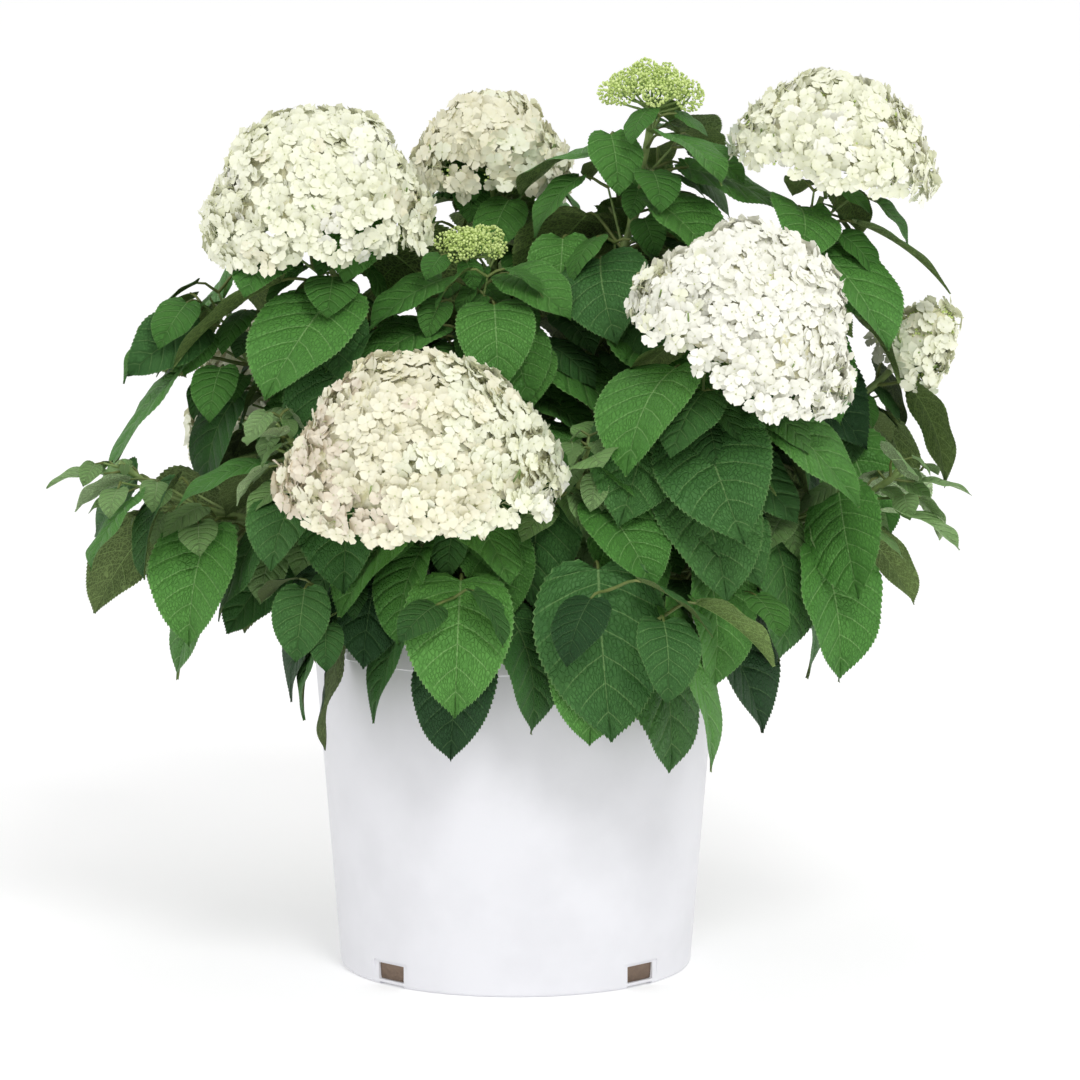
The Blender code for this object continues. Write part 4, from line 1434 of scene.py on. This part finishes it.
def makeFlower(kind, collection):
    dice = random.Random(f"flower {kind}")
    verts, faces = [], []
    wide = len(bloom["columns"])
    for petal in range(4):
        turn, lift, cup, size, twist = (
            dice.uniform(*bloom[form]) for form in ("turn", "lift", "cup", "petal", "twist"))
        turn = Matrix.Rotation(math.radians(90 * petal + turn), 3, "Z")
        base = len(verts)
        for reach, half in bloom["petalRows"]:
            for column in bloom["columns"]:
                x = half * column
                y = reach - 0.10 * column * column * (reach > 0.9)
                z = lift * y * y + cup * (2.0 * x * x - 0.6 * y * y) + twist * x * y
                z += bloom["overlap"] * (petal % 2)
                verts.append(turn @ (Vector((x, y, z)) * size))
        for row in range(len(bloom["petalRows"]) - 1):
            for column in range(wide - 1):
                low = base + row * wide + column
                faces.append((low, low + 1, low + wide + 1, low + wide))
    petals = len(faces)
    # the eye, a small pyramid, and the stalk behind it
    top = len(verts)
    radius, low, high = bloom["eye"]
    verts += [polar(90 * corner, radius, low) for corner in range(4)] + [Vector((0, 0, high))]
    faces += [(top + corner, top + (corner + 1) % 4, top + 4) for corner in range(4)]
    foot = len(verts)
    for height in bloom["stalk"]:
        verts += [polar(120 * corner, bloom["stalkRadius"], height) for corner in range(3)]
    faces += [(foot + corner, foot + 3 + corner, foot + 3 + (corner + 1) % 3,
               foot + (corner + 1) % 3) for corner in range(3)]
    mesh = newMesh(f"flower{kind}", verts, faces)
    store(mesh, "stalk", "BOOLEAN", "FACE", [index >= petals for index in range(len(faces))])
    mesh.shade_smooth()
    collection.objects.link(bpy.data.objects.new(mesh.name, mesh))


# the green buds between the flowers, and in the heads that have yet to open
buds = {
    "clumps": 21,               # clusters in an unopened head, set out in a spiral
    "spiral": 137.5,
    "swing": 12,
    "inset": 0.24,
    "spread": 0.86,
    "slope": 0.85,              # how much lower the outermost stand
    "uneven": (-0.004, 0.001),
    "clump": (0.20, 0.29),
    "size": 0.00115,
    "sizes": (0.55, 1.15),
    "spacing": 0.0022,
    "sink": 0.0085,
    "density": 400000.0,
    "patches": 85.0,            # scale of the patches in which they show, 12 mm or so
    "reach": 0.42,              # what a head's share of buds adds to a patch
    "from": 0.73,
    "colours": ((0.44, 0.58, 0.15), (0.74, 0.86, 0.36)),
    "seed": 5,
}


class Bed:
    # faces that things grow on, each with the values that say what grows there
    def __init__(self):
        self.verts, self.faces, self.values = [], [], {}

    def add(self, verts, faces, **values):
        start = len(self.verts)
        self.verts += verts
        self.faces += [tuple(start + index for index in face) for face in faces]
        for title, found in values.items():
            self.values.setdefault(title, []).extend(found)

    def mesh(self, name):
        mesh = newMesh(name, self.verts, self.faces)
        for title, found in self.values.items():
            kind = "FLOAT_VECTOR" if isinstance(found[0], Vector) else "FLOAT"
            store(mesh, title, kind, "FACE", found)
        return mesh


def makeBeds():
    # the outlines of all the heads, for flowers, and for buds with clumps in unopened heads
    flowers, green = Bed(), Bed()
    under, wide = bloom["rim"]
    for shoot in headShoots:
        head, path = heads[shoot.name], paths[shoot.name]
        if head.buds == 1.0:
            for middle, size in budClumps(shoot, path):
                verts, faces = partsOf(sphere(2, size))
                verts = [middle + vert for vert in verts]
                green.add(verts, faces, share=[1.0] * len(faces), sink=[0.0] * len(faces))
            continue
        verts, faces, rises = dome(shoot, path, 4)
        kept = [index for index, rise in enumerate(rises) if rise > bloom["lowest"]]
        faces = [faces[index] for index in kept]
        middles = [sum((verts[index] for index in face), Vector()) / 3 for face in faces]
        centre = path.at(1.0)
        away = []
        for middle in middles:
            ray = middle - centre
            aside = Vector((ray.x, ray.y, 0.0)).normalized() * bloom["aside"]
            away.append((ray.normalized() + aside).normalized())
        flowers.add(
            verts, faces, away=away,
            hang=[min(1.0, max(0.0, 1 - (rises[index] + under) / wide)) for index in kept],
            tone=[head.tone + head.drift * (middle.x - centre.x) for middle in middles],
            share=[head.buds] * len(faces))
        green.add(verts, faces, share=[head.buds] * len(faces), sink=[buds["sink"]] * len(faces))
    return flowers.mesh("flowerBed"), green.mesh("budBed")


def strewn(plan, depth, seed, density):
    # points over the faces, sunk a little under them
    sunk = plan.times(plan.add("GeometryNodeInputNormal"), -1.0 * depth)
    return plan.scattered(plan.moved(plan.given("Geometry"), sunk), plan.given("Spacing"),
                          density, plan.given("Seed") + seed)


def clusters(plan):
    # high where green buds show between the flowers, in patches
    return plan.noise(buds["patches"], 1.0) + plan.stored("share") * buds["reach"]


def flowerPlan():
    plan = Plan("flowersOnHeads", Flowers="collection", Spacing=float, Size=float, Tilt=float,
                Hang=float, Low=float, High=float, Seed=int, Material="material",
                Stalk="material")
    layers = plan.tree.nodes.new("GeometryNodeJoinGeometry")
    for number, depth in enumerate(bloom["layers"]):
        points = strewn(plan, depth, number, bloom["density"])
        patch = plan.noise(bloom["patches"], 2.0)
        luck = plan.drawn(-bloom["toneLuck"], bloom["toneLuck"], Seed=5)
        tone = plan.stored("tone") + luck + (patch - 0.5) * bloom["patchTone"]
        points = plan.add("GeometryNodeStoreNamedAttribute", None, {
            "Geometry": points, "Name": "shade", "Value": tone})
        lobes = plan.noise(bloom["lobes"], 1.0)
        for test in (clusters(plan) > bloom["openFrom"],
                     plan.stored("shade") > plan.given("High"),
                     plan.given("Low") - plan.stored("shade") > 0.0,
                     plan.stored("hang") * lobes > bloom["notch"]):
            points = plan.dropped(points, test)
        fall = plan.stored("hang") * plan.given("Hang") * (
            plan.drawn(0.0, 0.6, Seed=6) + plan.between(lobes, 0.55, 0.35, 0.0, 0.6))
        points = plan.moved(points, plan.add("ShaderNodeCombineXYZ", None, {2: 0.0 - fall}))
        facing = plan.add("FunctionNodeAlignRotationToVector", {"axis": "Z"}, {
            "Vector": plan.stored("away", "FLOAT_VECTOR")})
        tilt = plan.given("Tilt")
        nod = plan.add("ShaderNodeVectorMath", {"operation": "MULTIPLY"}, {
            0: plan.drawn((-1.0, -1.0, 0.0), (1.0, 1.0, 6.28), Seed=7),
            1: plan.add("ShaderNodeCombineXYZ", None, {0: tilt, 1: tilt, 2: 1.0})})
        facing = plan.add("FunctionNodeRotateRotation", {"rotation_space": "LOCAL"}, {
            "Rotation": facing, "Rotate By": nod})
        placed = plan.setOut(points, "Flowers", Rotation=facing,
                             Scale=plan.drawn(*bloom["sizes"], Seed=9) * plan.given("Size"))
        plan.tree.links.new(placed.socket, layers.inputs[0])
    plan.end(Wire(plan, layers.outputs[0]), (plan.given("Material"), None),
             (plan.given("Stalk"), plan.stored("stalk", "BOOLEAN")))
    return plan


def budPlan():
    plan = Plan("budsOnHeads", Spacing=float, Size=float, Seed=int, Material="material")
    points = strewn(plan, plan.stored("sink"), 3, buds["density"])
    points = plan.dropped(points, buds["from"] - clusters(plan) > 0.0)
    bead = plan.add("GeometryNodeMeshIcoSphere", None, {"Radius": 1.0, "Subdivisions": 1})
    size = plan.drawn(*buds["sizes"], Seed=2) * plan.given("Size")
    placed = plan.add("GeometryNodeInstanceOnPoints", None, {
        "Points": points, "Instance": bead, "Scale": size})
    plan.end(plan.smooth(placed), (plan.given("Material"), None))
    return plan


def softPaint(name, dark, light, roughness, depth=0.0004, strength=0.3):
    paint = Paint(name, Roughness=roughness, Specular_IOR_Level=0.25)
    cloud = paint.cloud(bloom["cloud"])
    colour = paint.blend(paint.between(cloud, 0.3, 0.7), dark, light)
    return paint.finish(colour, None, cloud, depth, strength)


def makeFlowers():
    kinds = bpy.data.collections.new("flowers")
    for kind in range(bloom["kinds"]):
        makeFlower(kind, kinds)
    bed, budBed = makeBeds()
    plan = flowerPlan()
    names = list(petalLooks)
    stalk = softPaint("flowerStalk", *bloom["stalkColours"], 0.6)
    for index, name in enumerate(names):
        low, dark, light = petalLooks[name]
        high = petalLooks[names[index + 1]][0] if index + 1 < len(names) else 9.0
        petal = softPaint(f"petal{name}", dark, light, 0.62)
        piece = plan.grow(f"petals{name}", bed.copy(), Flowers=kinds, Spacing=bloom["spacing"],
                          Size=bloom["size"], Tilt=bloom["tilt"], Hang=bloom["hang"],
                          Low=low, High=high, Seed=bloom["seed"], Material=petal, Stalk=stalk)
        settle(piece, headNodes)
    lime = softPaint("greenBuds", *buds["colours"], 0.55)
    green = budPlan().grow("greenBuds", budBed, Spacing=buds["spacing"], Size=buds["size"],
                           Seed=buds["seed"], Material=lime)
    settle(green, headNodes)
    discard(*kinds.objects)


def makeCores():
    # the shaded inside of each open head, where the stalks of its flowers run
    inside = Bed()
    for shoot in headShoots:
        if heads[shoot.name].buds < 1.0:
            verts, faces, _ = dome(shoot, paths[shoot.name], 3, bloom["core"], 0.0)
            inside.add(verts, faces)
    paint = softPaint("flowerStalks", *bloom["insideColours"], 0.8, 0.002, 1.0)
    piece = newObject("headCores", inside.verts, inside.faces, paint)
    settle(piece, headNodes)


# the studio: white floor and walls of light, and the camera
studio = {
    "halfFloor": 30,
    "floor": (0.95, 0.95, 0.95),
    "glow": 0.17,               # the floor is a light table
    "world": 0.84,
    "keyPlace": (1.3, -4.6, 4.3),
    "keySize": 1.9,
    "keyPower": 122.0,
    "cameraPlace": (0.0165, -6.5, 1.43),
    "cameraAim": (0.0165, 0.0, 0.292),
    "halfView": 0.3672,         # half of what the frame takes in at the aim, in metres
}


def aimed(name, data, place):
    toward = Vector(studio["cameraAim"]) - Vector(place)
    obj = shown(name, data)
    obj.location = place
    obj.rotation_euler = toward.to_track_quat("-Z", "Y").to_euler()
    return obj, toward.length


def makeStudio():
    paint = Paint("paleFloor", Roughness=0.9, Emission_Strength=studio["glow"],
                  Emission_Color=(1.0, 1.0, 1.0, 1.0))
    wide = studio["halfFloor"]
    corners = [(-wide, -wide, 0), (wide, -wide, 0), (wide, wide, 0), (-wide, wide, 0)]
    floor = newObject("studioFloor", corners, [(0, 1, 2, 3)],
                      paint.finish((*studio["floor"], 1.0)), smooth=False)
    world = bpy.data.worlds.new("studioWorld")
    bpy.context.scene.world = world
    world.use_nodes = True
    sky = world.node_tree.nodes["Background"]
    sky.inputs["Color"].default_value = (1.0, 1.0, 1.0, 1.0)
    sky.inputs["Strength"].default_value = studio["world"]
    key = bpy.data.lights.new("keyLight", "AREA")
    key.shape = "DISK"
    key.size = studio["keySize"]
    key.energy = studio["keyPower"]
    aimed("keyLight", key, studio["keyPlace"])
    lens = bpy.data.cameras.new("camera")
    camera, distance = aimed("camera", lens, studio["cameraPlace"])
    lens.angle = 2 * math.atan(studio["halfView"] / distance)
    bpy.context.scene.camera = camera
    bpy.context.scene.view_settings.view_transform = "Standard"


massNodes = sorted(name for name in frame["nodes"] if name.startswith("mass_"))
caneNodes = sorted(name for name in frame["nodes"] if name.startswith("cane_"))
headNodes = ["mass_" + name for name in heads]

makePot()
makeSoil()
makeFoot()
allLeaves, twigLines = growLeaves()
makeLeaves(allLeaves)
makeStems(allLeaves, twigLines)
makeCores()
makeFlowers()
makeStudio()
